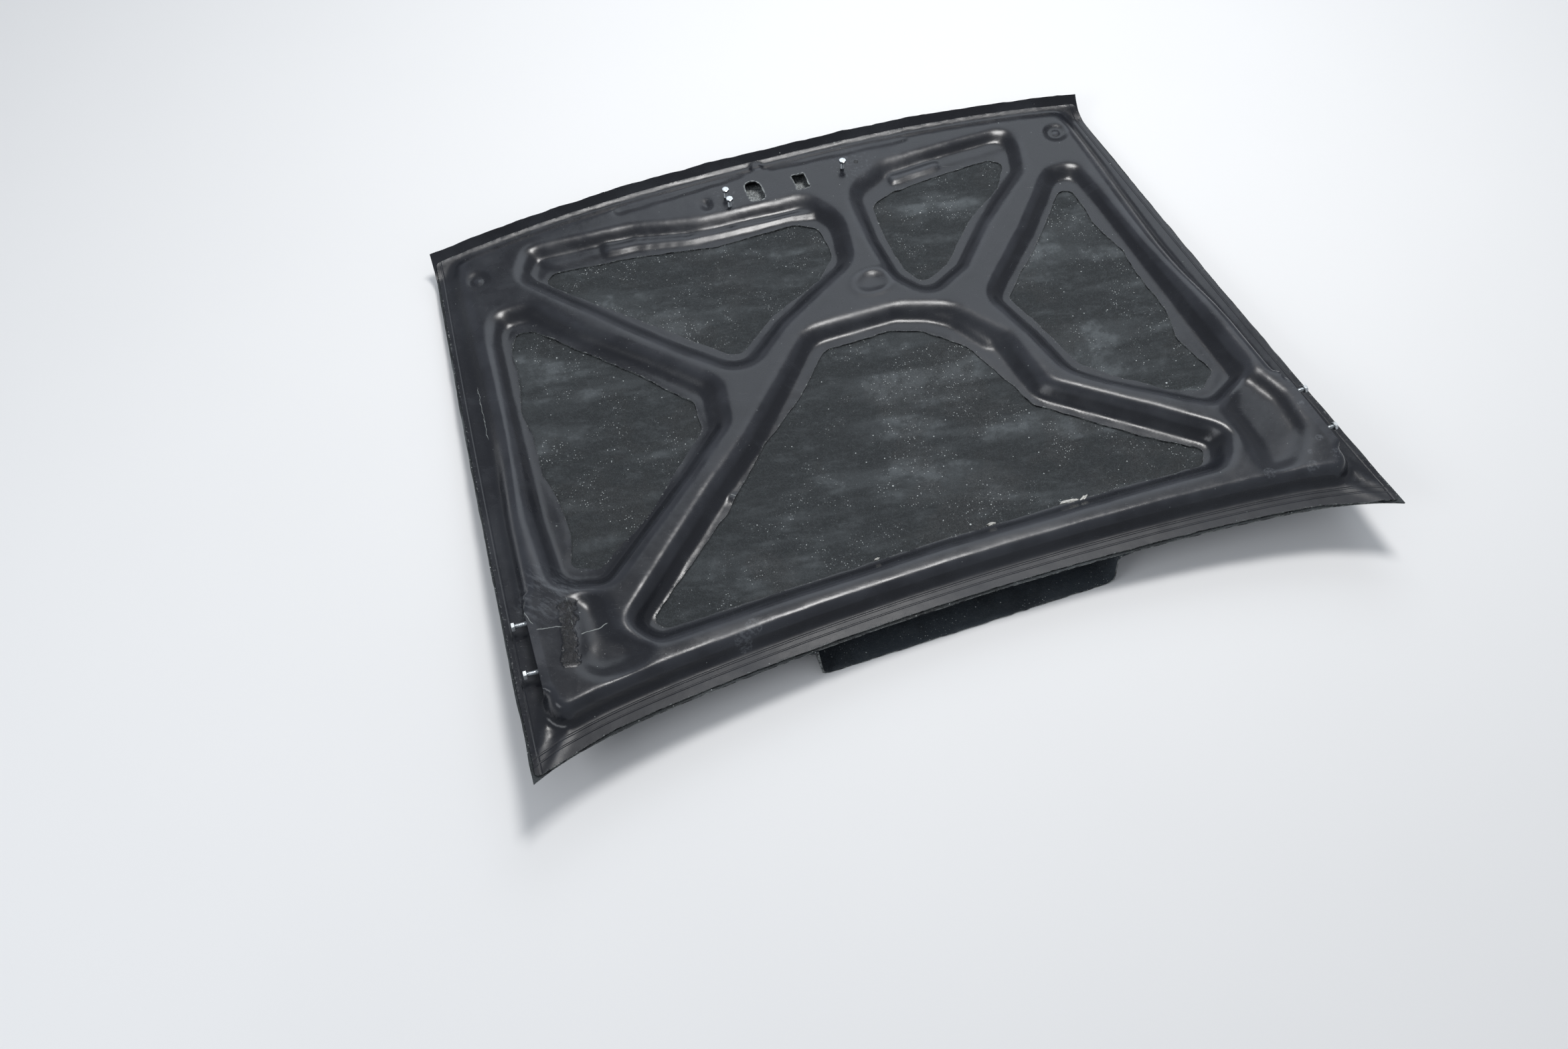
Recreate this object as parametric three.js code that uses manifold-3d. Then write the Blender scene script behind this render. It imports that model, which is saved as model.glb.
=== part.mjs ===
// Glass-fibre car bonnet, lying upside down: a thin outer skin, a one-piece moulded inner frame
// bonded to its inside, a rear-facing cowl scoop bonded to its outside, steel backing plates
// behind the hinge and latch faces, and the bolts that are still screwed into them.
// Millimetres. +Z is up, towards the side that faces the engine. +Y points to the front edge of
// the bonnet and +X runs across the car. The origin is on the ground, below the middle.
import * as THREE from "three";
import { mergeVertices } from "three/addons/utils/BufferGeometryUtils.js";
import Module from "manifold-3d";

const wasm = await Module();
wasm.setup();

// Plan of the outer skin
const LENGTH = 1198;
const REAR_CORNER_Y = -599;
const REAR_HALF_WIDTH = 725;
const FRONT_HALF_WIDTH = 686;
const SIDE_BOW = 6.5;
const FRONT_BOW = 80;
const REAR_BOW = 62;
const REAR_CORNER_HOOK = 26;
const REAR_EDGE_Y = REAR_CORNER_Y + REAR_CORNER_HOOK + REAR_BOW;
const FRONT_EDGE_Y = REAR_CORNER_Y + LENGTH;
const REAR_BAND = 299;
const FRONT_BAND = 219;

// Section of the outer skin
const SKIN = 3;
const REAR_CENTRE_Z = 62;
const FRONT_CENTRE_Z = 1.77;
const LENGTHWISE_BOW = 9.9;
const FRONT_CROWN = 15;
const REAR_CROWN = 31.5;
const LIP_HEIGHT = 36;
const LIP_DEPTH = 60;
const LIP_CURVE = 2.5;

// Inner frame
const WALL = 3;
const BOND = 0.3;
const CHANNEL = 22;
const REAR_CHANNEL_GAIN = 8;
const REAR_CORNER_GAIN = 10;
const EDGE_SET_BACK = 5;
const LIP_SET_BACK = 14;
const LIP_SEAM = 2.2;
const REAR_FLANGE = 42;
const REAR_WALL_RUN = 7;
const SIDE_FLANGE = 40;
const FRONT_SIDE_FLANGE = 26;
const SIDE_WALL_RUN = 6;
const SIDE_RAMP_RUN = 24;
const REAR_CORNER_RADIUS = 45;
const FRONT_CORNER_RADIUS = 24;
const STEP = 62;
const FOOT_SET_BACK = 8;
const SHOULDER_SET_BACK = 20;
const EDGE_REAR_RADIUS = 6;
const EDGE_FRONT_RADIUS = 10;
const SEAM_FROM = 2;

// Hinge and latch fixings
const HINGE_SET_IN = 41.5;
const HINGE_BOLT_PLACES = [261, 171];
const HINGE_BOLT_DROP = 17;
const HINGE_FACE_PLACES = [137, 299];
const HINGE_DRAFT = 0.1;
const BOLT_D = 8;
const BOLT_FIT = 0.4;
const HEAD_AF = 13;
const HEAD_H = 5.3;
const HINGE_STICK_OUT = 17;
const LATCH_STICK_OUT = 16;
const PLATE = 4;
const PLATE_FIT = 0.3;
const HINGE_PLATE_HEIGHT = 22;
const HINGE_PLATE_MARGIN = 17;
const HINGE_THREAD_PAST = 8;
const LATCH_THREAD_PAST = 4;
const TIP_TAPER = 0.8;
const DRILL_REACH = 60;

// Cowl scoop
const SCOOP_HALF = 257;
const SCOOP_WALL_LEAN = 6;
const SCOOP_FLANGE = 22;
const SCOOP_OVERHANG = 22;
const SCOOP_LENGTH = 560;
const SCOOP_FLAT = 36;
const SCOOP = 3;
const SCOOP_FALL = 1.25;
const SCOOP_ROUND = 14;
const SCOOP_ROWS = 8;

const clamp = (v, a, b) => Math.min(Math.max(v, a), b);
const mix = (a, b, k) => a + (b - a) * k;
function ease(from, to, v) {
  const k = clamp((v - from) / (to - from), 0, 1);
  return k * k * (3 - 2 * k);
}

// Plan outline of the skin
const along = (y) => (y - REAR_EDGE_Y) / (FRONT_EDGE_Y - REAR_EDGE_Y);
function halfWidth(y) {
  const t = (y - REAR_CORNER_Y) / (FRONT_EDGE_Y - FRONT_BOW - REAR_CORNER_Y);
  const bow = SIDE_BOW * (1 - (2 * t - 1) ** 2);
  return mix(REAR_HALF_WIDTH, FRONT_HALF_WIDTH, t) + bow;
}
const frontEdge = (x) => FRONT_EDGE_Y - FRONT_BOW * Math.abs(x / FRONT_HALF_WIDTH) ** 2.4;
const rearEdge = (x) =>
  REAR_EDGE_Y - REAR_BOW * (x / REAR_HALF_WIDTH) ** 2 - REAR_CORNER_HOOK * (x / REAR_HALF_WIDTH) ** 10;

// Places along the bonnet: from its rear corners, from its front edge, and in thousandths between the two bands
const rear = (distance) => REAR_CORNER_Y + distance;
const front = (distance) => FRONT_EDGE_Y - distance;
const mid = (share) => mix(rear(REAR_BAND), front(FRONT_BAND), share / 1000);
const spread = (corners) => corners.map(([share, y, r]) => [(share / 1000) * halfWidth(y), y, r]);

// Heights: the crowned panel, the skin's inner face with its front lip, and the frame's top
function panel(x, y) {
  const t = along(y);
  const centre = mix(REAR_CENTRE_Z, FRONT_CENTRE_Z, t) - 4 * LENGTHWISE_BOW * t * (1 - t);
  const crown = FRONT_CROWN + (REAR_CROWN - FRONT_CROWN) * (1 - t) ** 2;
  return centre + crown * (x / halfWidth(y)) ** 2;
}
function lip(x, y) {
  const s = (frontEdge(x) - y) / LIP_DEPTH;
  return LIP_HEIGHT * clamp(1 - s, 0, 1) ** LIP_CURVE;
}
const inside = (x, y) => panel(x, y) + lip(x, y);
const outside = (x, y) => inside(x, y) - SKIN;
function channelTop(x, y) {
  const rear = 1 - ease(0.3, 0.62, along(y));
  const gain = REAR_CHANNEL_GAIN + REAR_CORNER_GAIN * (x / REAR_HALF_WIDTH) ** 2;
  return panel(x, y) + CHANNEL + rear * gain;
}
const flangeTop = (x, y) => inside(x, y) + BOND + WALL;

// A closed loop through corner points [x, y, radius], with straight runs cut into short steps
function roundedLoop(corners, step = STEP) {
  const out = [];
  const n = corners.length;
  const push = (p) => {
    const last = out[out.length - 1];
    if (last) {
      const d = Math.hypot(p[0] - last[0], p[1] - last[1]);
      if (d < 0.5) return;
      const cuts = Math.ceil(d / step);
      for (let i = 1; i < cuts; i++) out.push([mix(last[0], p[0], i / cuts), mix(last[1], p[1], i / cuts)]);
    }
    out.push(p);
  };
  for (let i = 0; i < n; i++) {
    const [x, y, r = 0] = corners[i];
    if (!r) {
      push([x, y]);
      continue;
    }
    const before = corners[(i + n - 1) % n];
    const after = corners[(i + 1) % n];
    const a = Math.atan2(before[1] - y, before[0] - x);
    const b = Math.atan2(after[1] - y, after[0] - x);
    let turn = b - a;
    while (turn > Math.PI) turn -= 2 * Math.PI;
    while (turn < -Math.PI) turn += 2 * Math.PI;
    const half = Math.abs(turn) / 2;
    const shorter = Math.min(Math.hypot(before[0] - x, before[1] - y), Math.hypot(after[0] - x, after[1] - y));
    const cut = Math.min(r / Math.tan(half), 0.48 * shorter);
    const radius = cut * Math.tan(half);
    const mid = a + turn / 2;
    const cx = x + (radius / Math.sin(half)) * Math.cos(mid);
    const cy = y + (radius / Math.sin(half)) * Math.sin(mid);
    const from = Math.atan2(y + cut * Math.sin(a) - cy, x + cut * Math.cos(a) - cx);
    let sweep = Math.atan2(y + cut * Math.sin(b) - cy, x + cut * Math.cos(b) - cx) - from;
    while (sweep > Math.PI) sweep -= 2 * Math.PI;
    while (sweep < -Math.PI) sweep += 2 * Math.PI;
    const parts = Math.max(2, Math.ceil(Math.abs(sweep) / 0.4));
    for (let k = 0; k <= parts; k++) {
      const angle = from + (sweep * k) / parts;
      push([cx + radius * Math.cos(angle), cy + radius * Math.sin(angle)]);
    }
  }
  const first = out[0];
  push([first[0], first[1]]);
  out.pop();
  return out;
}

// The corners of an outline moved inwards by a distance, each radius less by the same
function inset(corners, distance) {
  const n = corners.length;
  const way = Math.sign(THREE.ShapeUtils.area(corners.map(([x, y]) => ({ x, y }))));
  const normal = (a, b) => {
    const d = Math.hypot(b[0] - a[0], b[1] - a[1]) * way;
    return [-(b[1] - a[1]) / d, (b[0] - a[0]) / d];
  };
  return corners.map((p, i) => {
    const u = normal(corners[(i + n - 1) % n], p);
    const v = normal(p, corners[(i + 1) % n]);
    const k = distance / (1 + u[0] * v[0] + u[1] * v[1]);
    return [p[0] + (u[0] + v[0]) * k, p[1] + (u[1] + v[1]) * k, Math.max((p[2] ?? 0) - distance, 1)];
  });
}

// Corners of the five openings as [thousandths of the half width there, y, radius]: the shoulder where the
// channel's wall starts, the foot where it lands on the skin, and the hand-trimmed edge of the bonded flange.
const OPENINGS = {
  front_left: {
    shoulder: [[-781, front(181), 40], [-734, front(107), 24], [-436, front(106), 120],
      [-239, front(133), 90], [90, front(139), 45], [162, front(214), 70], [126, mid(812), 60],
      [-135, mid(647), 90], [-275, mid(509), 55], [-426, mid(662), 90]],
    foot: [[-741, front(174), 26], [-711, front(141), 20], [-435, front(147), 120], [-231, front(172), 90],
      [58, front(175), 36], [112, mid(979), 50], [94, mid(838), 50], [-142, mid(685), 80],
      [-274, mid(565), 42], [-412, mid(700), 80]],
    trim: [[-714, front(191), 14], [-677, front(171), 10], [-535, front(179), 0], [-423, front(187), 60],
      [-216, front(207), 60], [26, front(202), 30], [86, mid(985), 24], [89, mid(876), 40],
      [14, mid(791), 0], [-142, mid(712), 60], [-272, mid(594), 32], [-401, mid(729), 60]],
  },
  front_right: {
    shoulder: [[206, front(147), 55], [349, front(101), 60], [597, front(101), 90], [780, front(101), 36],
      [728, mid(988), 50], [532, mid(821), 90], [412, mid(685), 60], [276, mid(612), 40],
      [203, mid(721), 60], [198, mid(882), 90]],
    foot: [[249, front(174), 40], [363, front(139), 50], [595, front(131), 90], [733, front(131), 28],
      [689, front(214), 40], [515, mid(850), 80], [387, mid(709), 40], [278, mid(653), 28],
      [233, mid(735), 50], [229, mid(882), 90]],
    trim: [[266, front(201), 26], [347, front(179), 0], [482, front(169), 80], [654, front(163), 14],
      [691, front(187), 16], [633, mid(962), 0], [504, mid(871), 60], [373, mid(729), 30],
      [284, mid(682), 20], [254, mid(750), 40], [249, mid(882), 60]],
  },
  left: {
    shoulder: [[-881, mid(844), 60], [-869, mid(950), 34], [-759, mid(956), 34], [-641, mid(815), 90],
      [-493, mid(669), 90], [-347, mid(515), 45], [-368, mid(371), 45], [-489, mid(244), 90],
      [-627, mid(106), 90], [-750, rear(285), 34], [-873, mid(15), 38], [-886, mid(229), 120],
      [-884, mid(541), 200]],
    foot: [[-855, mid(838), 50], [-841, mid(906), 26], [-769, mid(909), 26], [-656, mid(776), 80],
      [-510, mid(635), 80], [-395, mid(503), 34], [-407, mid(382), 34], [-512, mid(268), 80],
      [-644, mid(135), 80], [-756, mid(24), 26], [-843, mid(47), 28], [-855, mid(229), 100],
      [-856, mid(541), 200]],
    trim: [[-838, mid(826), 20], [-814, mid(876), 14], [-771, mid(871), 14], [-691, mid(788), 0],
      [-562, mid(656), 40], [-488, mid(562), 30], [-426, mid(491), 20], [-427, mid(391), 20],
      [-521, mid(288), 40], [-614, mid(176), 0], [-760, mid(53), 16], [-821, mid(79), 16],
      [-804, mid(176), 30], [-809, mid(279), 30], [-834, mid(382), 30], [-835, mid(500), 30],
      [-849, mid(603), 30], [-837, mid(721), 30]],
  },
  right: {
    shoulder: [[750, mid(926), 34], [784, mid(959), 24], [872, mid(956), 28], [877, mid(809), 90],
      [885, mid(382), 200], [887, mid(35), 40], [757, rear(279), 34], [562, mid(146), 90],
      [482, mid(224), 70], [452, mid(385), 80], [410, mid(553), 36], [468, mid(621), 50],
      [617, mid(771), 90]],
    foot: [[772, mid(894), 26], [789, mid(915), 20], [844, mid(912), 22], [851, mid(800), 80],
      [854, mid(382), 200], [854, mid(65), 30], [765, mid(18), 28], [583, mid(165), 80],
      [512, mid(241), 50], [486, mid(397), 70], [449, mid(550), 26], [490, mid(597), 40],
      [641, mid(747), 80]],
    trim: [[753, mid(847), 20], [788, mid(879), 14], [819, mid(868), 14], [822, mid(779), 20],
      [814, mid(721), 20], [835, mid(588), 30], [826, mid(500), 30], [828, mid(353), 30],
      [802, mid(235), 30], [825, mid(103), 14], [768, mid(53), 16], [696, mid(94), 20],
      [600, mid(182), 30], [537, mid(259), 30], [509, mid(400), 50], [475, mid(544), 14],
      [509, mid(585), 30], [658, mid(732), 30]],
  },
  rear: {
    shoulder: [[-734, rear(209), 24], [-692, rear(161), 40], [-415, rear(175), 400], [0, rear(185), 800],
      [415, rear(175), 400], [685, rear(161), 40], [735, rear(221), 24], [598, mid(34), 120],
      [419, mid(206), 60], [408, mid(397), 90], [311, mid(565), 70], [184, mid(616), 60],
      [-85, mid(616), 60], [-211, mid(471), 90], [-346, mid(304), 160], [-487, mid(156), 160]],
    foot: [[-696, rear(215), 18], [-673, rear(185), 28], [-416, rear(195), 400], [0, rear(202), 800],
      [416, rear(195), 400], [670, rear(185), 28], [699, rear(229), 18], [575, mid(15), 100],
      [383, mid(194), 40], [362, mid(382), 80], [277, mid(526), 60], [156, mid(574), 50],
      [-71, mid(571), 50], [-172, mid(441), 80], [-314, mid(276), 140], [-460, mid(126), 140]],
    trim: [[-679, rear(215), 14], [-657, rear(193), 16], [-416, rear(201), 300], [0, rear(208), 800],
      [416, rear(201), 300], [651, rear(191), 16], [679, rear(223), 14], [556, rear(293), 60],
      [374, mid(174), 12], [350, mid(265), 20], [301, mid(418), 60], [212, mid(518), 40],
      [133, mid(547), 30], [-54, mid(544), 30], [-157, mid(418), 30], [-289, mid(297), 30],
      [-449, mid(109), 60], [-594, rear(275), 30]],
  },
};

// Shallow pockets pressed into the frame's top: outline corners, wall run and depth
const POCKETS = [
  {
    corners: spread([[-864, rear(283), 14], [-741, rear(273), 14],
      [-741, rear(129), 34], [-868, rear(123), 34]]),
    run: 9,
    depth: 13,
  },
  {
    corners: spread([[869, rear(283), 14], [772, rear(273), 14], [758, rear(133), 34], [871, rear(125), 34]]),
    run: 9,
    depth: 13,
  },
  {
    corners: spread([[-459, front(73), 5], [-58, front(50), 5], [-61, front(37), 5], [-463, front(52), 5]]),
    run: 4,
    depth: 4,
  },
  {
    corners: spread([[20, front(50), 5], [459, front(66), 5], [463, front(52), 5], [23, front(35), 5]]),
    run: 4,
    depth: 4,
  },
  {
    corners: [[-127, front(117), 9], [-127, front(87), 9], [-147, front(87), 9], [-147, front(117), 9]],
    run: 5,
    depth: 6,
  },
  {
    corners: spread([[-856, front(184), 20], [-859, front(142), 20],
      [-919, front(142), 20], [-916, front(184), 20]]),
    run: 8,
    depth: 6,
  },
  {
    corners: spread([[908, front(179), 20], [911, front(137), 20],
      [850, front(137), 20], [847, front(179), 20]]),
    run: 8,
    depth: 6,
  },
];
const LATCH_HOLES = [
  [[-17, front(125), 8], [-17, front(69), 15], [-49, front(69), 15], [-49, front(125), 8]],
  [[77, front(125), 3], [77, front(82), 3], [51, front(82), 3], [51, front(125), 3]],
];

// Latch fixings behind the front edge: flat pads, the bolts on them and the hole that lost its bolt
const LATCH_PADS = {
  left: [[-122, front(130), 6], [-71, front(130), 6], [-71, front(77), 6], [-122, front(77), 6]],
  right: [[138, front(111), 6], [206, front(111), 6], [206, front(73), 6], [138, front(73), 6]],
};
const LATCH_BOLTS = { left_front: [-93, front(95)], left_rear: [-93, front(122)], right: [157, front(96)] };
const EMPTY_LATCH_HOLE = [190, front(89)];

// The flat faces that the hinges bolt to, one on each side
const HINGE_BOLT_Y = HINGE_BOLT_PLACES.map(rear);
const HINGE_FACE_Y = HINGE_FACE_PLACES.map(rear);
const HINGE_FACE_X = halfWidth((HINGE_FACE_Y[0] + HINGE_FACE_Y[1]) / 2) - HINGE_SET_IN;
const onHingeFace = (y) => y >= HINGE_FACE_Y[0] - 1 && y <= HINGE_FACE_Y[1] + 1;
const hingeBoltZ = (y) => channelTop(HINGE_FACE_X, y) - HINGE_BOLT_DROP;
const hingeMidZ = hingeBoltZ((HINGE_FACE_Y[0] + HINGE_FACE_Y[1]) / 2);
const hingeFaceX = (z) => HINGE_FACE_X + HINGE_DRAFT * (hingeMidZ - z);
function onFace(y, height) {
  let x = HINGE_FACE_X;
  for (let i = 0; i < 8; i++) x = hingeFaceX(height(x, y));
  return x;
}

// Loops around the frame's rim: its cut edge, the foot of the outer wall and its shoulder
const RIM_SHARES = [-830, -500, -170, 170, 500, 830];
function rimLoop(side, rearAt, frontAt, rearRadius, frontRadius) {
  const across = RIM_SHARES.map((share) => (share / 1000) * FRONT_HALF_WIDTH);
  const [faceRear, faceFront] = HINGE_FACE_Y;
  const onTheFace = [0, 0.25, 0.5, 0.75, 1].map((k) => mix(faceRear, faceFront, k));
  const up = [...onTheFace, mid(150), mid(440), mid(735), front(FRONT_BAND - 20)];
  const rearX = side(rearEdge(0.83 * REAR_HALF_WIDTH));
  const frontX = side(frontEdge(0.93 * FRONT_HALF_WIDTH));
  const corners = [[-rearX, rearAt(rearX), rearRadius]];
  across.forEach((x) => corners.push([x, rearAt(x)]));
  corners.push([rearX, rearAt(rearX), rearRadius]);
  up.forEach((y) => corners.push([side(y), y]));
  corners.push([frontX, frontAt(frontX), frontRadius]);
  [...across].reverse().forEach((x) => corners.push([x, frontAt(x)]));
  corners.push([-frontX, frontAt(frontX), frontRadius]);
  [...up].reverse().forEach((y) => corners.push([-side(y), y]));
  return roundedLoop(corners);
}
const edgeX = (y) => halfWidth(y) - EDGE_SET_BACK;
const footX = (y) =>
  onHingeFace(y) ? onFace(y, flangeTop)
    : halfWidth(y) - mix(SIDE_FLANGE, FRONT_SIDE_FLANGE, ease(mid(440), front(99), y));
const shoulderX = (y) =>
  onHingeFace(y) ? onFace(y, channelTop)
    : footX(y) - mix(SIDE_WALL_RUN, SIDE_RAMP_RUN, ease(mid(220), mid(530), y));
const rearFoot = (x) => rearEdge(x) + REAR_FLANGE;
const rearShoulder = (x) => rearFoot(x) + REAR_WALL_RUN;
const frontLine = (x) => frontEdge(x) - LIP_SET_BACK;
const rim = {
  edge: rimLoop(edgeX, (x) => rearEdge(x) + EDGE_SET_BACK, frontLine, EDGE_REAR_RADIUS, EDGE_FRONT_RADIUS),
  foot: rimLoop(footX, rearFoot, (x) => frontLine(x) - FOOT_SET_BACK,
    REAR_CORNER_RADIUS + REAR_WALL_RUN, FRONT_CORNER_RADIUS + FOOT_SET_BACK),
  shoulder: rimLoop(shoulderX, rearShoulder, (x) => frontLine(x) - SHOULDER_SET_BACK,
    REAR_CORNER_RADIUS, FRONT_CORNER_RADIUS),
};

// A sheet of triangles over the plan: points with a height each, and the cut edges around it
class Sheet {
  constructor() {
    this.points = [];
    this.triangles = [];
    this.edges = [];
  }
  loop(outline, height, inward = 0) {
    const ids = outline.map(([x, y]) => {
      this.points.push({ x, y, z: height(x, y), inward });
      return this.points.length - 1;
    });
    const area = THREE.ShapeUtils.area(outline.map(([x, y]) => ({ x, y })));
    return area > 0 ? ids : ids.reverse();
  }
  cutEdge(ids) {
    this.edges.push(ids);
  }
  fill(outer, holes = []) {
    const vec = (id) => new THREE.Vector2(this.points[id].x, this.points[id].y);
    const ids = [...outer, ...holes.flatMap((h) => [...h].reverse())];
    const gaps = holes.map((h) => [...h].reverse().map(vec));
    const faces = THREE.ShapeUtils.triangulateShape(outer.map(vec), gaps);
    const made = faces.map((f) => f.map((i) => ids[i]));
    this.relax(made, [outer, ...holes]);
    this.triangles.push(...made);
  }
  turn(a, b, c) {
    const [p, q, r] = [this.points[a], this.points[b], this.points[c]];
    return (q.x - p.x) * (r.y - p.y) - (q.y - p.y) * (r.x - p.x);
  }
  insideCircle(a, b, c, d) {
    const q = this.points[d];
    const rows = [a, b, c].map((i) => {
      const dx = this.points[i].x - q.x;
      const dy = this.points[i].y - q.y;
      return [dx, dy, dx * dx + dy * dy];
    });
    const [u, v, w] = rows;
    const first = u[0] * (v[1] * w[2] - v[2] * w[1]);
    const second = u[1] * (v[0] * w[2] - v[2] * w[0]);
    const third = u[2] * (v[0] * w[1] - v[1] * w[0]);
    return first - second + third > 1;
  }
  // Turns long thin pairs of triangles into better shaped ones, leaving the outlines as they are
  relax(faces, outlines) {
    const key = (i, j) => (i < j ? i + "_" + j : j + "_" + i);
    const fixed = new Set(outlines.flatMap((o) => o.map((id, i) => key(id, o[(i + 1) % o.length]))));
    for (let pass = 0, changed = true; changed && pass < 60; pass++) {
      changed = false;
      const owners = new Map();
      faces.forEach((f, n) => f.forEach((id, i) => {
        const k = key(id, f[(i + 1) % 3]);
        owners.set(k, [...(owners.get(k) ?? []), n]);
      }));
      const touched = new Set();
      for (const [k, pair] of owners) {
        if (fixed.has(k) || pair.length !== 2 || touched.has(pair[0]) || touched.has(pair[1])) continue;
        const c = faces[pair[0]].find((id) => !faces[pair[1]].includes(id));
        const d = faces[pair[1]].find((id) => !faces[pair[0]].includes(id));
        const at = faces[pair[0]].indexOf(c);
        const i = faces[pair[0]][(at + 1) % 3];
        const j = faces[pair[0]][(at + 2) % 3];
        if (this.turn(i, d, c) < 0.01 || this.turn(d, j, c) < 0.01) continue;
        const thin = Math.min(this.turn(i, j, c), this.turn(j, i, d)) < 0.01;
        if (!thin && !this.insideCircle(i, j, c, d)) continue;
        faces[pair[0]] = [i, d, c];
        faces[pair[1]] = [d, j, c];
        pair.forEach((n) => touched.add(n));
        changed = true;
      }
    }
  }
  // The sheet as a closed shell of the given thickness, its lower points straight below
  solid(thickness) {
    const n = this.points.length;
    const position = [];
    this.points.forEach((p) => position.push(p.x, p.y, p.z));
    this.points.forEach((p) => {
      const k = p.inward / Math.hypot(p.x, p.y);
      position.push(p.x * (1 - k), p.y * (1 - k), p.z - thickness);
    });
    const index = [];
    this.triangles.forEach(([a, b, c]) => index.push(a, b, c, a + n, c + n, b + n));
    this.edges.forEach((ids) => ids.forEach((a, i) => {
      const b = ids[(i + 1) % ids.length];
      index.push(a, a + n, b, b, a + n, b + n);
    }));
    return solidFrom(position, index);
  }
}

function solidFrom(position, index) {
  return new wasm.Manifold(new wasm.Mesh({
    numProp: 3, vertProperties: new Float32Array(position), triVerts: new Uint32Array(index),
  }));
}
function solidOf(geometry) {
  const g = geometry.clone();
  g.deleteAttribute("normal");
  g.deleteAttribute("uv");
  const merged = mergeVertices(g, 1e-4);
  return solidFrom(merged.attributes.position.array, merged.index.array);
}
function geometryOf(solid) {
  const m = solid.getMesh();
  const g = new THREE.BufferGeometry();
  g.setAttribute("position", new THREE.BufferAttribute(new Float32Array(m.vertProperties), 3));
  g.setIndex(new THREE.BufferAttribute(new Uint32Array(m.triVerts), 1));
  const flat = g.toNonIndexed();
  flat.computeVertexNormals();
  return flat;
}

// A grid of points as a closed shell: rows of points, each with its top and its bottom
function gridShell(rows) {
  const n = rows[0].length;
  const size = rows.length * n;
  const flat = rows.flat();
  const position = [...flat.flatMap((p) => p.top), ...flat.flatMap((p) => p.bottom)];
  const index = [];
  const quad = (a, b, c, d) => index.push(a, b, c, a, c, d);
  for (let r = 0; r + 1 < rows.length; r++) {
    for (let c = 0; c + 1 < n; c++) {
      const i = r * n + c;
      quad(i, i + 1, i + 1 + n, i + n);
      quad(i + size, i + n + size, i + n + 1 + size, i + 1 + size);
    }
  }
  const last = (rows.length - 1) * n;
  for (let c = 0; c + 1 < n; c++) {
    quad(c, c + size, c + 1 + size, c + 1);
    quad(last + c, last + c + 1, last + c + 1 + size, last + c + size);
  }
  for (let r = 0; r + 1 < rows.length; r++) {
    const i = r * n;
    const j = i + n - 1;
    quad(i, i + n, i + n + size, i + size);
    quad(j, j + size, j + n + size, j + n);
  }
  return solidFrom(position, index);
}

const COLUMNS = 26;
const ROWS = 18;
const LIP_ROWS = [1000, 767, 567, 400, 250, 117, 0];
function outerSkin() {
  const rows = [];
  const column = (c) => (2 * c) / COLUMNS - 1;
  const row = (place) => Array.from({ length: COLUMNS + 1 }, (_, c) => {
    const u = column(c);
    const y = place(rearEdge(u * REAR_HALF_WIDTH), frontEdge(u * FRONT_HALF_WIDTH));
    const x = u * halfWidth(y);
    const top = inside(x, y);
    return { top: [x, y, top], bottom: [x, y, top - SKIN] };
  });
  for (let r = 0; r < ROWS; r++) rows.push(row((from, to) => mix(from, to - LIP_DEPTH, r / ROWS)));
  LIP_ROWS.forEach((share) => rows.push(row((from, to) => to - (share / 1000) * LIP_DEPTH)));
  return gridShell(rows);
}

function innerFrame() {
  const sheet = new Sheet();
  const seamed = (x, y) => flangeTop(x, y) + (lip(x, y) > SEAM_FROM ? LIP_SEAM : 0);
  const edge = sheet.loop(rim.edge, seamed);
  const foot = sheet.loop(rim.foot, seamed, WALL);
  const shoulder = sheet.loop(rim.shoulder, channelTop, WALL);
  sheet.cutEdge(edge);
  sheet.fill(edge, [foot]);
  sheet.fill(foot, [shoulder]);
  const holes = [];
  for (const { shoulder: top, foot: low, trim } of Object.values(OPENINGS)) {
    const a = sheet.loop(roundedLoop(spread(top)), channelTop);
    const b = sheet.loop(roundedLoop(spread(low)), flangeTop);
    const c = sheet.loop(roundedLoop(spread(trim)), flangeTop);
    sheet.fill(a, [b]);
    sheet.fill(b, [c]);
    sheet.cutEdge([...c].reverse());
    holes.push(a);
  }
  for (const { corners, run, depth } of POCKETS) {
    const rimIds = sheet.loop(roundedLoop(corners), channelTop);
    const floorIds = sheet.loop(roundedLoop(inset(corners, run)), (x, y) => channelTop(x, y) - depth);
    sheet.fill(rimIds, [floorIds]);
    sheet.fill(floorIds);
    holes.push(rimIds);
  }
  for (const corners of Object.values(LATCH_PADS)) {
    const ids = sheet.loop(roundedLoop(corners), () => padZ(corners));
    sheet.fill(ids);
    holes.push(ids);
  }
  for (const corners of LATCH_HOLES) {
    const ids = sheet.loop(roundedLoop(corners), channelTop);
    sheet.cutEdge([...ids].reverse());
    holes.push(ids);
  }
  sheet.fill(shoulder, holes);
  return sheet.solid(WALL);
}
const middle = (corners) => [0, 1].map((k) => corners.reduce((sum, p) => sum + p[k], 0) / corners.length);
const padZ = (corners) => channelTop(...middle(corners));

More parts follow.
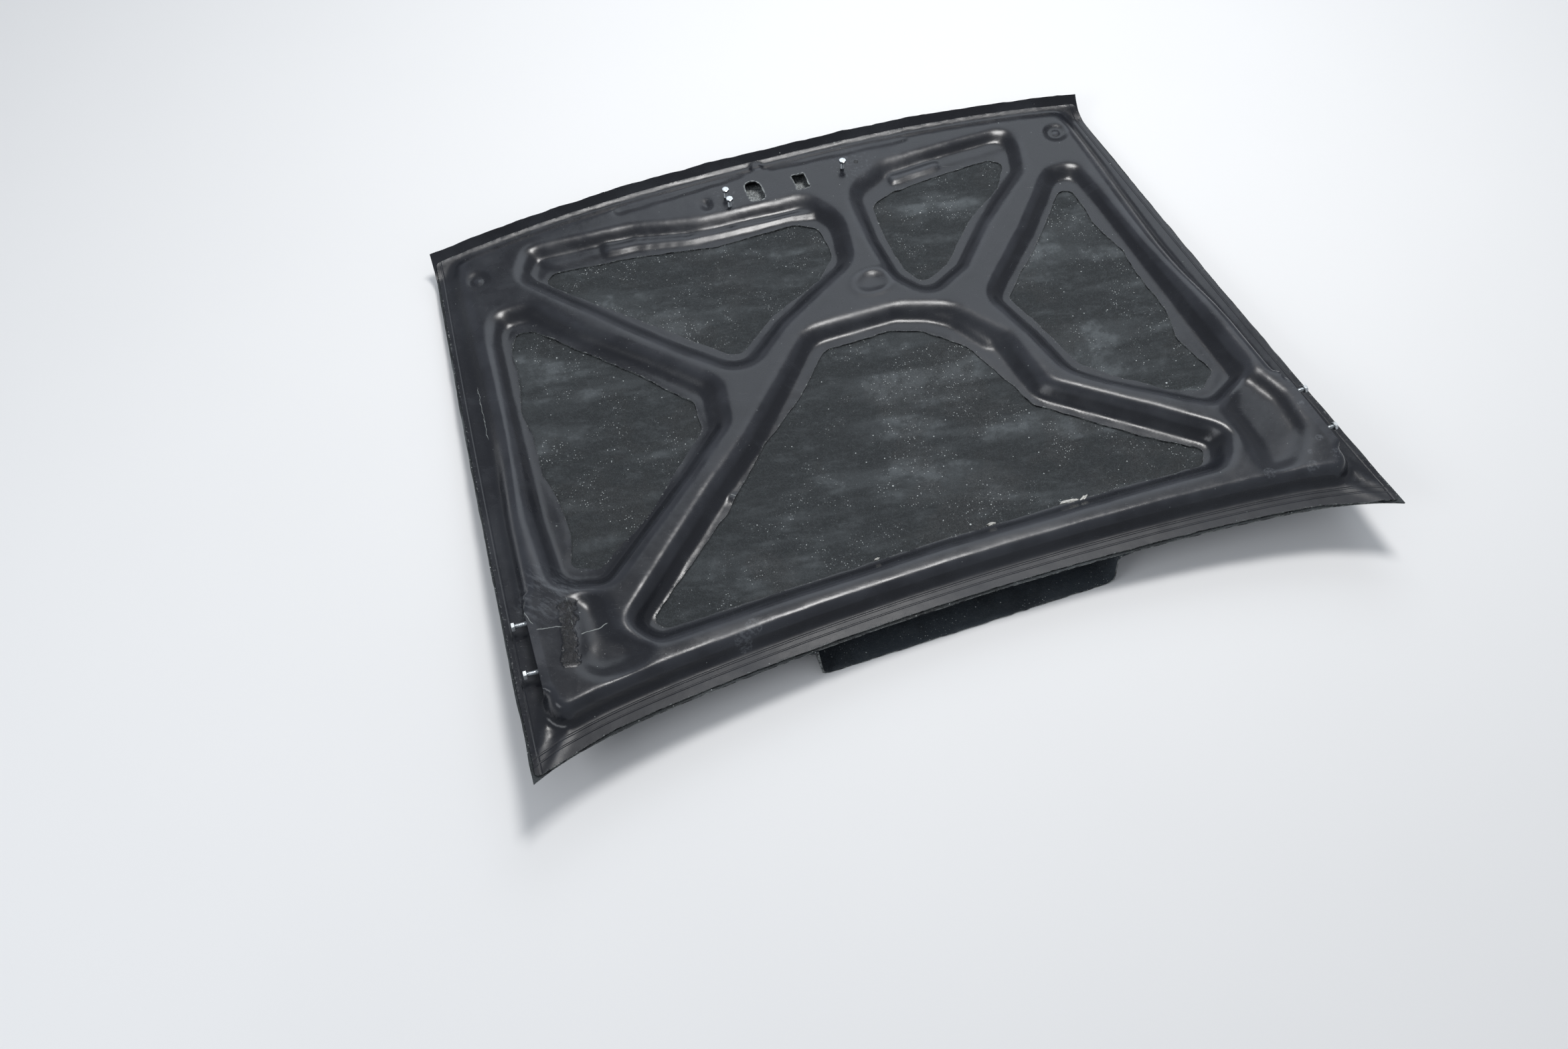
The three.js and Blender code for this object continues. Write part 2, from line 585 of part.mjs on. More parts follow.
function cowlScoop() {
  const back = REAR_EDGE_Y - SCOOP_OVERHANG;
  const roof = (y) => {
    const w = clamp((y - back - SCOOP_FLAT) / (SCOOP_LENGTH - SCOOP_FLAT), 0, 1);
    const far = outside(0, back + SCOOP_LENGTH) - BOND - SCOOP;
    return far * w ** SCOOP_FALL;
  };
  const half = SCOOP_HALF + SCOOP_WALL_LEAN;
  const section = [
    [half + SCOOP_FLANGE, half + SCOOP_FLANGE, 0],
    [half, half - SCOOP, 0],
    [SCOOP_HALF, SCOOP_HALF - SCOOP, 0.86],
    [SCOOP_HALF - SCOOP_ROUND / 3, SCOOP_HALF - SCOOP - SCOOP_ROUND / 4, 0.96],
    [SCOOP_HALF - SCOOP_ROUND, SCOOP_HALF - SCOOP_ROUND, 1],
    [SCOOP_HALF * 0.6, SCOOP_HALF * 0.6, 1],
    [SCOOP_HALF * 0.2, SCOOP_HALF * 0.2, 1],
  ];
  const columns = [...section.map(([a, b, k]) => [-a, -b, k]), ...section.reverse()];
  const rows = [];
  const places = [0];
  for (let r = 0; r <= SCOOP_ROWS; r++) places.push(mix(SCOOP_FLAT, SCOOP_LENGTH, r / SCOOP_ROWS));
  places.push(SCOOP_LENGTH + SCOOP_FLANGE);
  for (const s of places) {
    rows.push(columns.map(([xo, xi, k]) => {
      const flangeStart = rearEdge(half + SCOOP_FLANGE) + 1;
      const y = Math.max(back + s, mix(flangeStart, back, ease(0.1, 0.9, k)));
      const low = mix(outside(xo, y) - BOND - SCOOP, roof(y), s > SCOOP_LENGTH ? 0 : k);
      const high = mix(outside(xi, y) - BOND, roof(y) + SCOOP, s > SCOOP_LENGTH ? 0 : k);
      return { top: [xi, y, high], bottom: [xo, y, low] };
    }));
  }
  return gridShell(rows);
}

// A hexagon-head bolt along +Z: the underside of its head is at z = 0 and its shank points down
function bolt(shank) {
  const head = new THREE.CylinderGeometry(HEAD_AF / Math.sqrt(3), HEAD_AF / Math.sqrt(3), HEAD_H, 6)
    .rotateX(Math.PI / 2).translate(0, 0, HEAD_H / 2);
  const rod = new THREE.CylinderGeometry(BOLT_D / 2, BOLT_D / 2 - TIP_TAPER, shank + HEAD_H / 2, 16)
    .rotateX(Math.PI / 2).translate(0, 0, (HEAD_H / 2 - shank) / 2);
  return solidOf(head).add(solidOf(rod));
}
const hole = () =>
  solidOf(new THREE.CylinderGeometry(BOLT_D / 2 + BOLT_FIT, BOLT_D / 2 + BOLT_FIT, DRILL_REACH, 16)
    .rotateX(Math.PI / 2));

const root = new THREE.Group();
root.name = "car_bonnet";
const finish = {
  skin: new THREE.MeshStandardMaterial({ color: 0x3b3f40, roughness: 0.75 }),
  frame: new THREE.MeshStandardMaterial({ color: 0x2a2b2f, roughness: 0.45 }),
  scoop: new THREE.MeshStandardMaterial({ color: 0x26303a, roughness: 0.5 }),
  zinc: new THREE.MeshStandardMaterial({ color: 0xb9bcbe, roughness: 0.35, metalness: 0.9 }),
  steel: new THREE.MeshStandardMaterial({ color: 0x6e7173, roughness: 0.55, metalness: 0.9 }),
};
function place(name, solid, material, position = [0, 0, 0], turn = [0, 0, 0]) {
  const mesh = new THREE.Mesh(geometryOf(solid), material.clone());
  mesh.name = name;
  mesh.position.set(...position);
  mesh.rotation.set(...turn);
  root.add(mesh);
}

// Hinge side: bolts square to the hinge face, each pair held by a tapped plate behind the wall
const hingeShank = HINGE_STICK_OUT + WALL + PLATE + HINGE_THREAD_PAST;
const draftAngle = Math.atan(HINGE_DRAFT);
const [frontBoltY, rearBoltY] = HINGE_BOLT_Y;
let frame = innerFrame();
for (const [side, way] of [["left", -1], ["right", 1]]) {
  const outwards = (distance, y, z) =>
    [way * (hingeFaceX(z) + distance * Math.cos(draftAngle)), y, z + distance * Math.sin(draftAngle)];
  const lean = way * (Math.PI / 2 - draftAngle);
  const plateLength = frontBoltY - rearBoltY + 2 * HINGE_PLATE_MARGIN;
  const slope = Math.atan2(hingeBoltZ(frontBoltY) - hingeBoltZ(rearBoltY), frontBoltY - rearBoltY);
  const plateAt = [(frontBoltY + rearBoltY) / 2, (hingeBoltZ(frontBoltY) + hingeBoltZ(rearBoltY)) / 2];
  let plate = solidOf(new THREE.BoxGeometry(PLATE, plateLength, HINGE_PLATE_HEIGHT)
    .rotateX(slope).rotateY(-way * draftAngle)
    .translate(...outwards(-WALL - PLATE_FIT - PLATE / 2, ...plateAt)));
  HINGE_BOLT_Y.forEach((y, i) => {
    const bore = hole().rotate([0, THREE.MathUtils.radToDeg(lean), 0]).translate(outwards(0, y, hingeBoltZ(y)));
    frame = frame.subtract(bore);
    plate = plate.subtract(bore);
    const name = "hinge_bolt_" + side + (i === 0 ? "_front" : "_rear");
    place(name, bolt(hingeShank), finish.zinc, outwards(HINGE_STICK_OUT, y, hingeBoltZ(y)), [0, lean, 0]);
  });
  place("hinge_plate_" + side, plate, finish.steel);
}

// Latch side: bolts that stand on the two flat pads, with a tapped plate under each pad
const latchShank = LATCH_STICK_OUT + WALL + PLATE + LATCH_THREAD_PAST;
const latchHoles = {
  left: [LATCH_BOLTS.left_front, LATCH_BOLTS.left_rear],
  right: [LATCH_BOLTS.right, EMPTY_LATCH_HOLE],
};
for (const [side, corners] of Object.entries(LATCH_PADS)) {
  const [cx, cy] = middle(corners);
  const z = padZ(corners);
  const width = Math.abs(corners[1][0] - corners[0][0]);
  const depth = Math.abs(corners[2][1] - corners[1][1]);
  const plateZ = z - WALL - PLATE_FIT - PLATE / 2;
  let plate = solidOf(new THREE.BoxGeometry(width, depth, PLATE).translate(cx, cy, plateZ));
  for (const [x, y] of latchHoles[side]) {
    const bore = hole().translate([x, y, z]);
    frame = frame.subtract(bore);
    plate = plate.subtract(bore);
  }
  place("latch_plate_" + side, plate, finish.steel);
}
for (const [name, [x, y]] of Object.entries(LATCH_BOLTS)) {
  const pad = name.startsWith("left") ? LATCH_PADS.left : LATCH_PADS.right;
  place("latch_bolt_" + name, bolt(latchShank), finish.zinc, [x, y, padZ(pad) + LATCH_STICK_OUT]);
}

place("outer_skin", outerSkin(), finish.skin);
place("inner_frame", frame, finish.frame);
place("cowl_scoop", cowlScoop(), finish.scoop);

export default root;
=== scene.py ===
"""Car bonnet of moulded glass fibre, lying upside down, dressed around its solid parts."""

import math

import bpy
import numpy as np
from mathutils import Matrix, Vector


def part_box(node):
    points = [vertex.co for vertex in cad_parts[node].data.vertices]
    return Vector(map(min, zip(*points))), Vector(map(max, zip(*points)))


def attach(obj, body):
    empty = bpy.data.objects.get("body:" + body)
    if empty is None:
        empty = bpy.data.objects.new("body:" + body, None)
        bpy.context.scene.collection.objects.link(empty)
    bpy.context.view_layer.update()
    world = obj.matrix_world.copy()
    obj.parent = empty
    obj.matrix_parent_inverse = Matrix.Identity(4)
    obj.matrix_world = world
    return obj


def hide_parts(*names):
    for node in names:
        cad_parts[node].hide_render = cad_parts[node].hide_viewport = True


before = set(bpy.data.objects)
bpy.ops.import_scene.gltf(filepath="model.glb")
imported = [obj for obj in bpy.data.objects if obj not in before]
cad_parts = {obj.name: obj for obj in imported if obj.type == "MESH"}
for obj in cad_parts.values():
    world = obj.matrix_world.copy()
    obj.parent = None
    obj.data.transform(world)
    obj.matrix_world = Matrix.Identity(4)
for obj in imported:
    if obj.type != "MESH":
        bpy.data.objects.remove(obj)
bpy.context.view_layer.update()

bl_info = {
    "name": "Car bonnet",
    "version": (1, 0, 0),
    "blender": (4, 5, 0),
    "location": "View3D > Sidebar > Bonnet",
    "description": "Builds the fine surfaces, finishes and stage of a glass-fibre car bonnet",
    "category": "Object",
}

MM = 0.001
BODY = "root"
SHARP_ANGLE = math.radians(58)
THREAD_SHARP_ANGLE = math.radians(34)

# Plan and section of the outer skin, in millimetres
LENGTH = 1198.0
REAR_HALF_WIDTH = 725.0
FRONT_HALF_WIDTH = 686.0
SIDE_BOW = 6.5
FRONT_BOW = 80.0
REAR_BOW = 62.0
REAR_CORNER_HOOK = 26.0
REAR_EDGE_Y = -511.0
REAR_CORNER_Y = REAR_EDGE_Y - REAR_BOW - REAR_CORNER_HOOK
FRONT_EDGE_Y = REAR_CORNER_Y + LENGTH
SKIN = 3.0
REAR_CENTRE_Z = 62.0
FRONT_CENTRE_Z = 1.77
LENGTHWISE_BOW = 9.9
FRONT_CROWN = 15.0
REAR_CROWN = 31.5
LIP_HEIGHT = 36.0
LIP_DEPTH = 60.0
LIP_CURVE = 2.5
LIP_START = 0.8
LIP_ROWS = 25
RAGGED_BORDER = 8
TRIM_BACK = 0.9

# Inner frame
WALL = 3.0
BOND = 0.3
CHANNEL = 22.0
REAR_CHANNEL_GAIN = 8.0
REAR_CORNER_GAIN = 10.0
EDGE_SET_BACK = 5.0
LIP_SET_BACK = 14.0
LIP_SEAM = 2.2
REAR_FLANGE = 42.0
REAR_WALL_RUN = 7.0
SIDE_FLANGE = 40.0
FRONT_SIDE_FLANGE = 26.0
SIDE_WALL_RUN = 6.0
SIDE_RAMP_RUN = 24.0
SHOULDER_SPREAD = 12.0
WALL_RUN_SHARE = 0.92
REAR_CORNER_RADIUS = 45.0
FRONT_CORNER_RADIUS = 24.0
REAR_WALL_INSET = 0.98
FRONT_FLANGE = 8.0
FRONT_WALL_RUN = 12.0
EDGE_REAR_RADIUS = 6
EDGE_FRONT_RADIUS = 10
RIM_ACROSS = (-600, 600, 25)
RIM_DOWN = (-440, 470, 20)
RIM_REAR_X = 600.0
RIM_FRONT_X = 640.0
SHOULDER_ROUND = 2.1
FOOT_ROUND = 1.35
SURFACE_SOFTNESS = 1.05
CRISP_X = (615, 640)
CRISP_BORDER = (16, 4)
THINNEST = 0.6
TRIM_WANDER = 1.6
TRIM_JAG = 0.8
TRIM_DROP = 0.8
TRIM_LIFT = 0.9

# Fixings and scoop
HINGE_FACE_X = 680.0
BOLT_SIDES = 36
THREAD_RINGS = 6
HEAD_CHAMFER = math.radians(30)
HINGE_FACE_Y = (-462, -300)
HINGE_FACE_MARGIN = 1
HINGE_DRAFT = 0.1
HINGE_BOLT_Y = (-338, -428)
HINGE_BOLT_DROP = 17.0
HINGE_SHANK = 32.0
HINGE_STICK_OUT = 17.0
LATCH_BOLTS = ("left_front", "left_rear", "right")
TAPPED_PLATES = ("hinge_plate_left", "hinge_plate_right", "latch_plate_left", "latch_plate_right")
SCOOP_HALF = 257.0
SCOOP_WALL_LEAN = 6.0
SCOOP_FLANGE = 22.0
SCOOP_OVERHANG = 22.0
SCOOP_LENGTH = 560.0
SCOOP_FLAT = 36.0
SCOOP_FALL = 1.25

# Openings of the frame as corner points with radii: shoulder, foot of the wall, trimmed edge
OPENINGS = {
    "front_left": (
        [(-540, 418, 40), (-505, 492, 24), (-300, 493, 120), (-165, 466, 90), (62, 460, 45), (112, 385, 70),
         (88, 252, 60), (-95, 140, 90), (-195, 46, 55), (-300, 150, 90)],
        [(-512, 425, 26), (-490, 466, 20), (-300, 462, 120), (-160, 431, 90), (44, 430, 36), (80, 366, 50),
         (66, 270, 50), (-100, 166, 80), (-194, 84, 42), (-290, 176, 80)],
        [(-494, 408, 14), (-468, 428, 10), (-370, 424, 0), (-293, 418, 60), (-150, 396, 60), (18, 400, 30),
         (60, 374, 24), (62, 296, 40), (10, 238, 0), (-100, 184, 60), (-192, 104, 32), (-282, 196, 60)]),
    "front_right": (
        [(142, 452, 55), (240, 498, 60), (410, 498, 90), (536, 498, 36), (505, 372, 50), (372, 258, 90),
         (290, 166, 60), (195, 116, 40), (143, 190, 60), (138, 300, 90)],
        [(172, 425, 40), (250, 464, 50), (410, 472, 90), (505, 472, 28), (478, 385, 40), (360, 278, 80),
         (272, 182, 40), (196, 144, 28), (164, 200, 50), (160, 300, 90)],
        [(184, 398, 26), (240, 420, 0), (333, 430, 80), (452, 436, 14), (478, 412, 16), (440, 354, 0),
         (352, 292, 60), (262, 196, 30), (200, 164, 20), (178, 210, 40), (174, 300, 60)]),
    "left": (
        [(-616, 274, 60), (-604, 346, 34), (-528, 350, 34), (-449, 254, 90), (-347, 155, 90), (-246, 50, 45),
         (-262, -48, 45), (-350, -134, 90), (-450, -228, 90), (-540, -314, 34), (-628, -290, 38),
         (-634, -144, 120), (-626, 68, 200)],
        [(-598, 270, 50), (-586, 316, 26), (-536, 318, 26), (-460, 228, 80), (-360, 132, 80), (-280, 42, 34),
         (-290, -40, 34), (-366, -118, 80), (-462, -208, 80), (-544, -284, 26), (-606, -268, 28),
         (-612, -144, 100), (-606, 68, 200)],
        [(-586, 262, 20), (-568, 296, 14), (-538, 292, 14), (-484, 236, 0), (-396, 146, 40), (-345, 82, 30),
         (-302, 34, 20), (-304, -34, 20), (-372, -104, 40), (-440, -180, 0), (-546, -264, 16),
         (-590, -246, 16), (-576, -180, 30), (-578, -110, 30), (-594, -40, 30), (-592, 40, 30),
         (-600, 110, 30), (-588, 190, 30)]),
    "right": (
        [(522, 330, 34), (545, 352, 24), (606, 350, 28), (614, 250, 90), (630, -40, 200), (638, -276, 40),
         (545, -320, 34), (403, -201, 90), (345, -148, 70), (322, -38, 80), (290, 76, 36), (330, 122, 50),
         (433, 224, 90)],
        [(538, 308, 26), (550, 322, 20), (588, 320, 22), (596, 244, 80), (608, -40, 200), (614, -256, 30),
         (550, -288, 28), (418, -188, 80), (366, -136, 50), (346, -30, 70), (318, 74, 26), (346, 106, 40),
         (450, 208, 80)],
        [(526, 276, 20), (550, 298, 14), (572, 290, 14), (576, 230, 20), (572, 190, 20), (590, 100, 30),
         (586, 40, 30), (590, -60, 30), (574, -140, 30), (592, -230, 14), (552, -264, 16), (500, -236, 20),
         (430, -176, 30), (384, -124, 30), (362, -28, 50), (336, 70, 14), (360, 98, 30), (462, 198, 30)]),
    "rear": (
        [(-530, -390, 24), (-500, -438, 40), (-300, -424, 400), (0, -414, 800), (300, -424, 400),
         (495, -438, 40), (530, -378, 24), (430, -277, 120), (300, -160, 60), (290, -30, 90), (220, 84, 70),
         (130, 119, 60), (-60, 119, 60), (-150, 20, 90), (-247, -93, 160), (-349, -194, 160)],
        [(-502, -384, 18), (-486, -414, 28), (-300, -404, 400), (0, -397, 800), (300, -404, 400),
         (484, -414, 28), (504, -370, 18), (414, -290, 100), (274, -168, 40), (258, -40, 80), (196, 58, 60),
         (110, 90, 50), (-50, 88, 50), (-122, 0, 80), (-224, -112, 140), (-330, -214, 140)],
        [(-490, -384, 14), (-474, -406, 16), (-300, -398, 300), (0, -391, 800), (300, -398, 300),
         (470, -408, 16), (490, -376, 14), (400, -306, 60), (268, -182, 12), (250, -120, 20), (214, -16, 60),
         (150, 52, 40), (94, 72, 30), (-38, 70, 30), (-112, -16, 30), (-206, -98, 30), (-322, -226, 60),
         (-428, -324, 30)]),
}
# Pressed pockets: outline, run of the wall and depth
POCKETS = [
    ([(-607, -312, 10), (-556, -322, 20), (-549, -392, 30), (-492, -446, 16), (-540, -474, 40),
      (-600, -474, 40), (-622, -440, 30), (-606, -395, 20)], 17, 11),
    ([(590, -250, 30), (634, -254, 30), (658, -340, 60), (650, -424, 50), (598, -482, 46), (534, -478, 24),
      (548, -400, 30), (546, -326, 20)], 19, 13),
    ([(-316, 526, 5), (-40, 549, 5), (-42, 562, 5), (-318, 547, 5)], 4, 4),
    ([(14, 549, 5), (316, 533, 5), (318, 547, 5), (16, 564, 5)], 4, 4),
    ([(-127, 482, 9), (-127, 512, 9), (-147, 512, 9), (-147, 482, 9)], 5, 6),
]
POCKET_SOFT_RUN = 10
POCKET_SOFTNESS = 1.7
LATCH_HOLES = [
    [(-17, 474, 8), (-17, 530, 15), (-49, 530, 15), (-49, 474, 8)],
    [(77, 474, 3), (77, 517, 3), (51, 517, 3), (51, 474, 3)],
]
HOLE_CENTRES = [tuple(np.round(np.mean(corners, 0)[:2])) for corners in LATCH_HOLES]
LATCH_PADS = [
    [(-122, 469, 6), (-71, 469, 6), (-71, 522, 6), (-122, 522, 6)],
    [(138, 488, 6), (206, 488, 6), (206, 526, 6), (138, 526, 6)],
]
# Narrow ledges half way down the walls, as outlines with a height above the flange
LEDGE_RUN = 4
LEDGES = [
    ([(-364, 470), (-293, 466), (-190, 442), (16, 433), (60, 430), (78, 408), (62, 404), (16, 414),
      (-190, 417), (-293, 437), (-364, 441)], 6.0),
    ([(-496, 468), (-364, 470), (-364, 441), (-470, 439)], 2.5),
    ([(240, 466), (354, 471), (354, 447), (240, 438)], 6.0),
    ([(354, 475), (506, 474), (504, 450), (354, 447)], 2.5),
    ([(96, 100), (150, 92), (206, 46), (246, -30), (262, -34), (238, 50), (184, 98), (120, 116)], 7.0),
]
# Ridges from each rear corner of the channel to the corner of the bonnet: two ends and a height
RIDGES = [((680, -486), (713, -574), 2.6), ((650, -520), (700, -586), 3.0)]
RIDGE_SPREAD = 8
RIDGE_RING = (682, -537)
RING_RADIUS = 10
RING_SPREAD = 3.0
RING_RISE = 0.45
# Small round forms, with their heights and radii
BUMPER_SEATS = [(-613, 436), (607, 442)]
SEAT_BUTTON = 3.2
SEAT_BUTTON_RADIUS = 14
SEAT_HOLLOW = 5
SEAT_HOLLOW_RADIUS = 31
CENTRE_BOSS = (-8, 568)
BOSS_RISE = 4.0
BOSS_RADIUS = 16
BOSS_DIMPLE = 2.5
BOSS_DIMPLE_RADIUS = 8
HAND_PATCH = (100, 186)
HAND_STRETCH = 1.25
HAND_RADIUS = 30
HAND_RIM = 1.6
HAND_DIP = 2.6
TAB = (-296, -196)
TAB_RISE = 3.5
TAB_SPREAD = (9, 7)
# White cracks and scuffs: two ends, a half width and a wander
CRACKS = [
    ((-666, -362), (-610, -372), 0.9, 8),
    ((-604, -388), (-558, -380), 1.1, 7),
    ((-682, -312), (-668, -352), 0.7, 6),
    ((-609, -316), (-611, -374), 0.6, 6),
    ((-668, 60), (-664, 190), 0.6, 9),
    ((-300, -186), (-280, -204), 1.1, 4),
    ((676, -236), (684, -322), 0.8, 9),
    ((685, -344), (680, -416), 1.0, 10),
]
# Along the left pocket's ragged edge: raised burrs, and a near-black painted shade of the crack-like line
ROUGH_BAND = ((-609, -318), (-629, -445), 15, 26)
# Small dull marks, each a place and a radius
SMUDGES = [
    ((-346, -458), 12), ((-368, -475), 12), ((652, -447), 5), ((659, -485), 8), ((612, -493), 9),
    ((625, -467), 4), ((665, -371), 4), ((671, -286), 7), ((676, -318), 5), ((544, -478), 9),
    ((-560, -250), 10),
]
# Scuffed areas, each a place, a radius and a soft border
HINGE_SCUFF = ((-636, -300), 34, 40)
LATCH_SCUFF = ((180, 506), 26, 30)
PAD_SCUFF = ((-95, 492), 22, 30)
# The empty bolt hole is painted, not cut: a near-black spot of painted shade over a shallow dip
EMPTY_BOLT_HOLE = ((190, 510), 4.0, 0.7)
# Shallow grooves beside an edge: which edge, distance from it, outer and inner half width
GROOVES = [("from_rear", 21.0, 2.2, 0.4), ("from_rear", 32.0, 2.6, 0.5), ("from_side", 15.0, 2.4, 0.5)]
# Lumps of paste: place, length, width and turn
PASTE = [
    ((232, -394), 36, 7, -0.1),
    ((256, -397), 18, 6, 0.5),
    ((92, -390), 15, 5, 0.0),
    ((-112, -390), 9, 4, 0.1),
]
PASTE_HALF_HEIGHT = 2.4
PASTE_ROWS = 18
PASTE_SIDES = 40

# Fixed tones beside the colours that a user sets
# Black of the painted shade inside the empty bolt hole
HOLE_SHADE_BLACK = (0.001, 0.001, 0.001, 1)
# Black of the painted shade along the left pocket's ragged edge
EDGE_SHADE_BLACK = (0.003, 0.003, 0.004, 1)
DARK_RESIN = (0.008, 0.009, 0.0095, 1)
DULL_ZINC = (0.42, 0.44, 0.45, 1)
ZINC_STAIN = (0.12, 0.11, 0.1, 1)
MILL_SCALE = (0.05, 0.052, 0.056, 1)
RUST = (0.12, 0.045, 0.018, 1)
PASTE_DIRT = (0.2, 0.2, 0.19, 1)
FLOOR_CLOUD = (0.8, 0.8, 0.8, 1)

# Camera and lamps, in metres and degrees
CAMERA_PLACE = (-0.54733, -1.24244, 1.77543)
CAMERA_TURN = (30.4926, 0.5212, -18.8259)
CAMERA_LENS = 27.50
CAMERA_SENSOR = 36.0
LAMPS = [
    ("key", (0.65, 0.75, 3.2), 64.0, 0.5, (1.0, 0.99, 0.98)),
    ("sky", (1.3, 2.8, 2.6), 30.0, 1.5, (0.86, 0.93, 1.0)),
    ("fill", (-2.6, -0.9, 2.0), 18.0, 0.8, (0.93, 0.96, 1.0)),
]
LAMP_TARGET = (0, 0, 0.05)
LAMP_ASPECT = 0.7
SKY = ((0.88, 0.93, 1.0, 1), 0.38)
FLOOR_REACH = 14.0
FLOOR_DROP = 0.0005


def ease(start, end, value):
    k = np.clip((value - start) / (end - start), 0, 1)
    return k * k * (3 - 2 * k)


def mix(a, b, k):
    return a + (b - a) * k


def along(y):
    return (y - REAR_EDGE_Y) / (FRONT_EDGE_Y - REAR_EDGE_Y)


def half_width(y):
    t = (y - REAR_CORNER_Y) / (FRONT_EDGE_Y - FRONT_BOW - REAR_CORNER_Y)
    return mix(REAR_HALF_WIDTH, FRONT_HALF_WIDTH, t) + SIDE_BOW * (1 - (2 * t - 1) ** 2)


def front_edge(x):
    return FRONT_EDGE_Y - FRONT_BOW * np.abs(x / FRONT_HALF_WIDTH) ** 2.4


def rear_edge(x):
    u = x / REAR_HALF_WIDTH
    return REAR_EDGE_Y - REAR_BOW * u**2 - REAR_CORNER_HOOK * u**10


def panel(x, y):
    """Height of the crowned panel's inner face."""
    t = along(y)
    centre = mix(REAR_CENTRE_Z, FRONT_CENTRE_Z, t) - 4 * LENGTHWISE_BOW * t * (1 - t)
    crown = FRONT_CROWN + (REAR_CROWN - FRONT_CROWN) * (1 - t) ** 2
    return centre + crown * (x / half_width(y)) ** 2


def lip(x, y):
    return LIP_HEIGHT * np.clip(1 - (front_edge(x) - y) / LIP_DEPTH, 0, 1) ** LIP_CURVE


def inside(x, y):
    return panel(x, y) + lip(x, y)


def channel_top(x, y):
    rear = 1 - ease(0.3, 0.62, along(y))
    return panel(x, y) + CHANNEL + rear * (REAR_CHANNEL_GAIN + REAR_CORNER_GAIN * (x / REAR_HALF_WIDTH) ** 2)


def under_skin(x, y):
    """Height of the skin's outer face, less the bond."""
    return inside(x, y) - SKIN - BOND


def lattice(ix, iy, seed):
    """A repeatable random number between 0 and 1 for each whole-numbered place."""
    value = np.sin(ix * 127.1 + iy * 311.7 + seed * 74.7) * 43758.5453
    return value - np.floor(value)


def noise(x, y, size, seed):
    """Smooth noise between -1 and 1 with lumps of the given size."""
    u, v = x / size, y / size
    iu, iv = np.floor(u), np.floor(v)
    fu, fv = u - iu, v - iv
    fu, fv = fu * fu * (3 - 2 * fu), fv * fv * (3 - 2 * fv)
    low = mix(lattice(iu, iv, seed), lattice(iu + 1, iv, seed), fu)
    high = mix(lattice(iu, iv + 1, seed), lattice(iu + 1, iv + 1, seed), fu)
    return mix(low, high, fv) * 2 - 1


def rounded_loop(corners):
    """Points of a closed outline whose corners [x, y, radius] are rounded by arcs."""
    out = []
    for i, corner in enumerate(corners):
        p = Vector(corner[:2])
        radius = corner[2] if len(corner) > 2 else 0
        to_before = Vector(corners[i - 1][:2]) - p
        to_after = Vector(corners[(i + 1) % len(corners)][:2]) - p
        if not radius:
            out.append(tuple(p))
            continue
        half = to_before.angle(to_after) / 2
        cut = min(radius / math.tan(half), 0.48 * min(to_before.length, to_after.length))
        radius = cut * math.tan(half)
        a = p + to_before.normalized() * cut
        b = p + to_after.normalized() * cut
        centre = p + (to_before.normalized() + to_after.normalized()).normalized() * (radius / math.sin(half))
        start = math.atan2(a.y - centre.y, a.x - centre.x)
        sweep = math.atan2(b.y - centre.y, b.x - centre.x) - start
        sweep = (sweep + math.pi) % (2 * math.pi) - math.pi
        parts = max(2, math.ceil(abs(sweep) / 0.16))
        for k in range(parts + 1):
            angle = start + sweep * k / parts
            out.append((centre.x + radius * math.cos(angle), centre.y + radius * math.sin(angle)))
    return out


def depth_inside(loop, x, y):
    """Signed distance to a closed outline, positive inside it."""
    nearest = np.full(x.shape, 1e9)
    within = np.zeros(x.shape, bool)
    points = np.array(loop, float)
    for (ax, ay), (bx, by) in zip(points, np.roll(points, -1, 0)):
        dx, dy = bx - ax, by - ay
        size = dx * dx + dy * dy
        if size < 1e-9:
            continue
        k = np.clip(((x - ax) * dx + (y - ay) * dy) / size, 0, 1)
        nearest = np.minimum(nearest, (x - ax - k * dx) ** 2 + (y - ay - k * dy) ** 2)
        crosses = (ay > y) != (by > y)
        if dy:
            within ^= crosses & (x < ax + (y - ay) / dy * dx)
    return np.where(within, 1, -1) * np.sqrt(nearest)


def blur(field, cells):
    """The field smoothed by a bell curve a number of cells wide."""
    reach = int(math.ceil(cells * 3))
    weights = np.exp(-0.5 * (np.arange(-reach, reach + 1) / cells) ** 2)
    weights /= weights.sum()
    for axis in (0, 1):
        padded = np.pad(field, [(reach, reach) if a == axis else (0, 0) for a in (0, 1)], "edge")
        field = sum(
            w * np.take(padded, np.arange(k, k + field.shape[axis]), axis) for k, w in enumerate(weights)
        )
    return field


def rim_loop(side, rear, front, rear_radius, front_radius):
    """A closed outline around the frame, from its distance to each edge of the bonnet."""
    across = np.linspace(*RIM_ACROSS)
    down = np.linspace(*RIM_DOWN)
    rear_x = side(rear_edge(RIM_REAR_X))
    front_x = side(front_edge(RIM_FRONT_X))
    corners = [(-rear_x, rear(rear_x), rear_radius)]
    corners += [(x, rear(x), 0) for x in across]
    corners += [(rear_x, rear(rear_x), rear_radius)]
    corners += [(side(y), y, 0) for y in down]
    corners += [(front_x, front(front_x), front_radius)]
    corners += [(x, front(x), 0) for x in across[::-1]]
    corners += [(-front_x, front(front_x), front_radius)]
    corners += [(-side(y), y, 0) for y in down[::-1]]
    return rounded_loop(corners)


def edge_x(y):
    return half_width(y) - EDGE_SET_BACK


def hinge_bolt_z(y):
    return channel_top(HINGE_FACE_X, y) - HINGE_BOLT_DROP


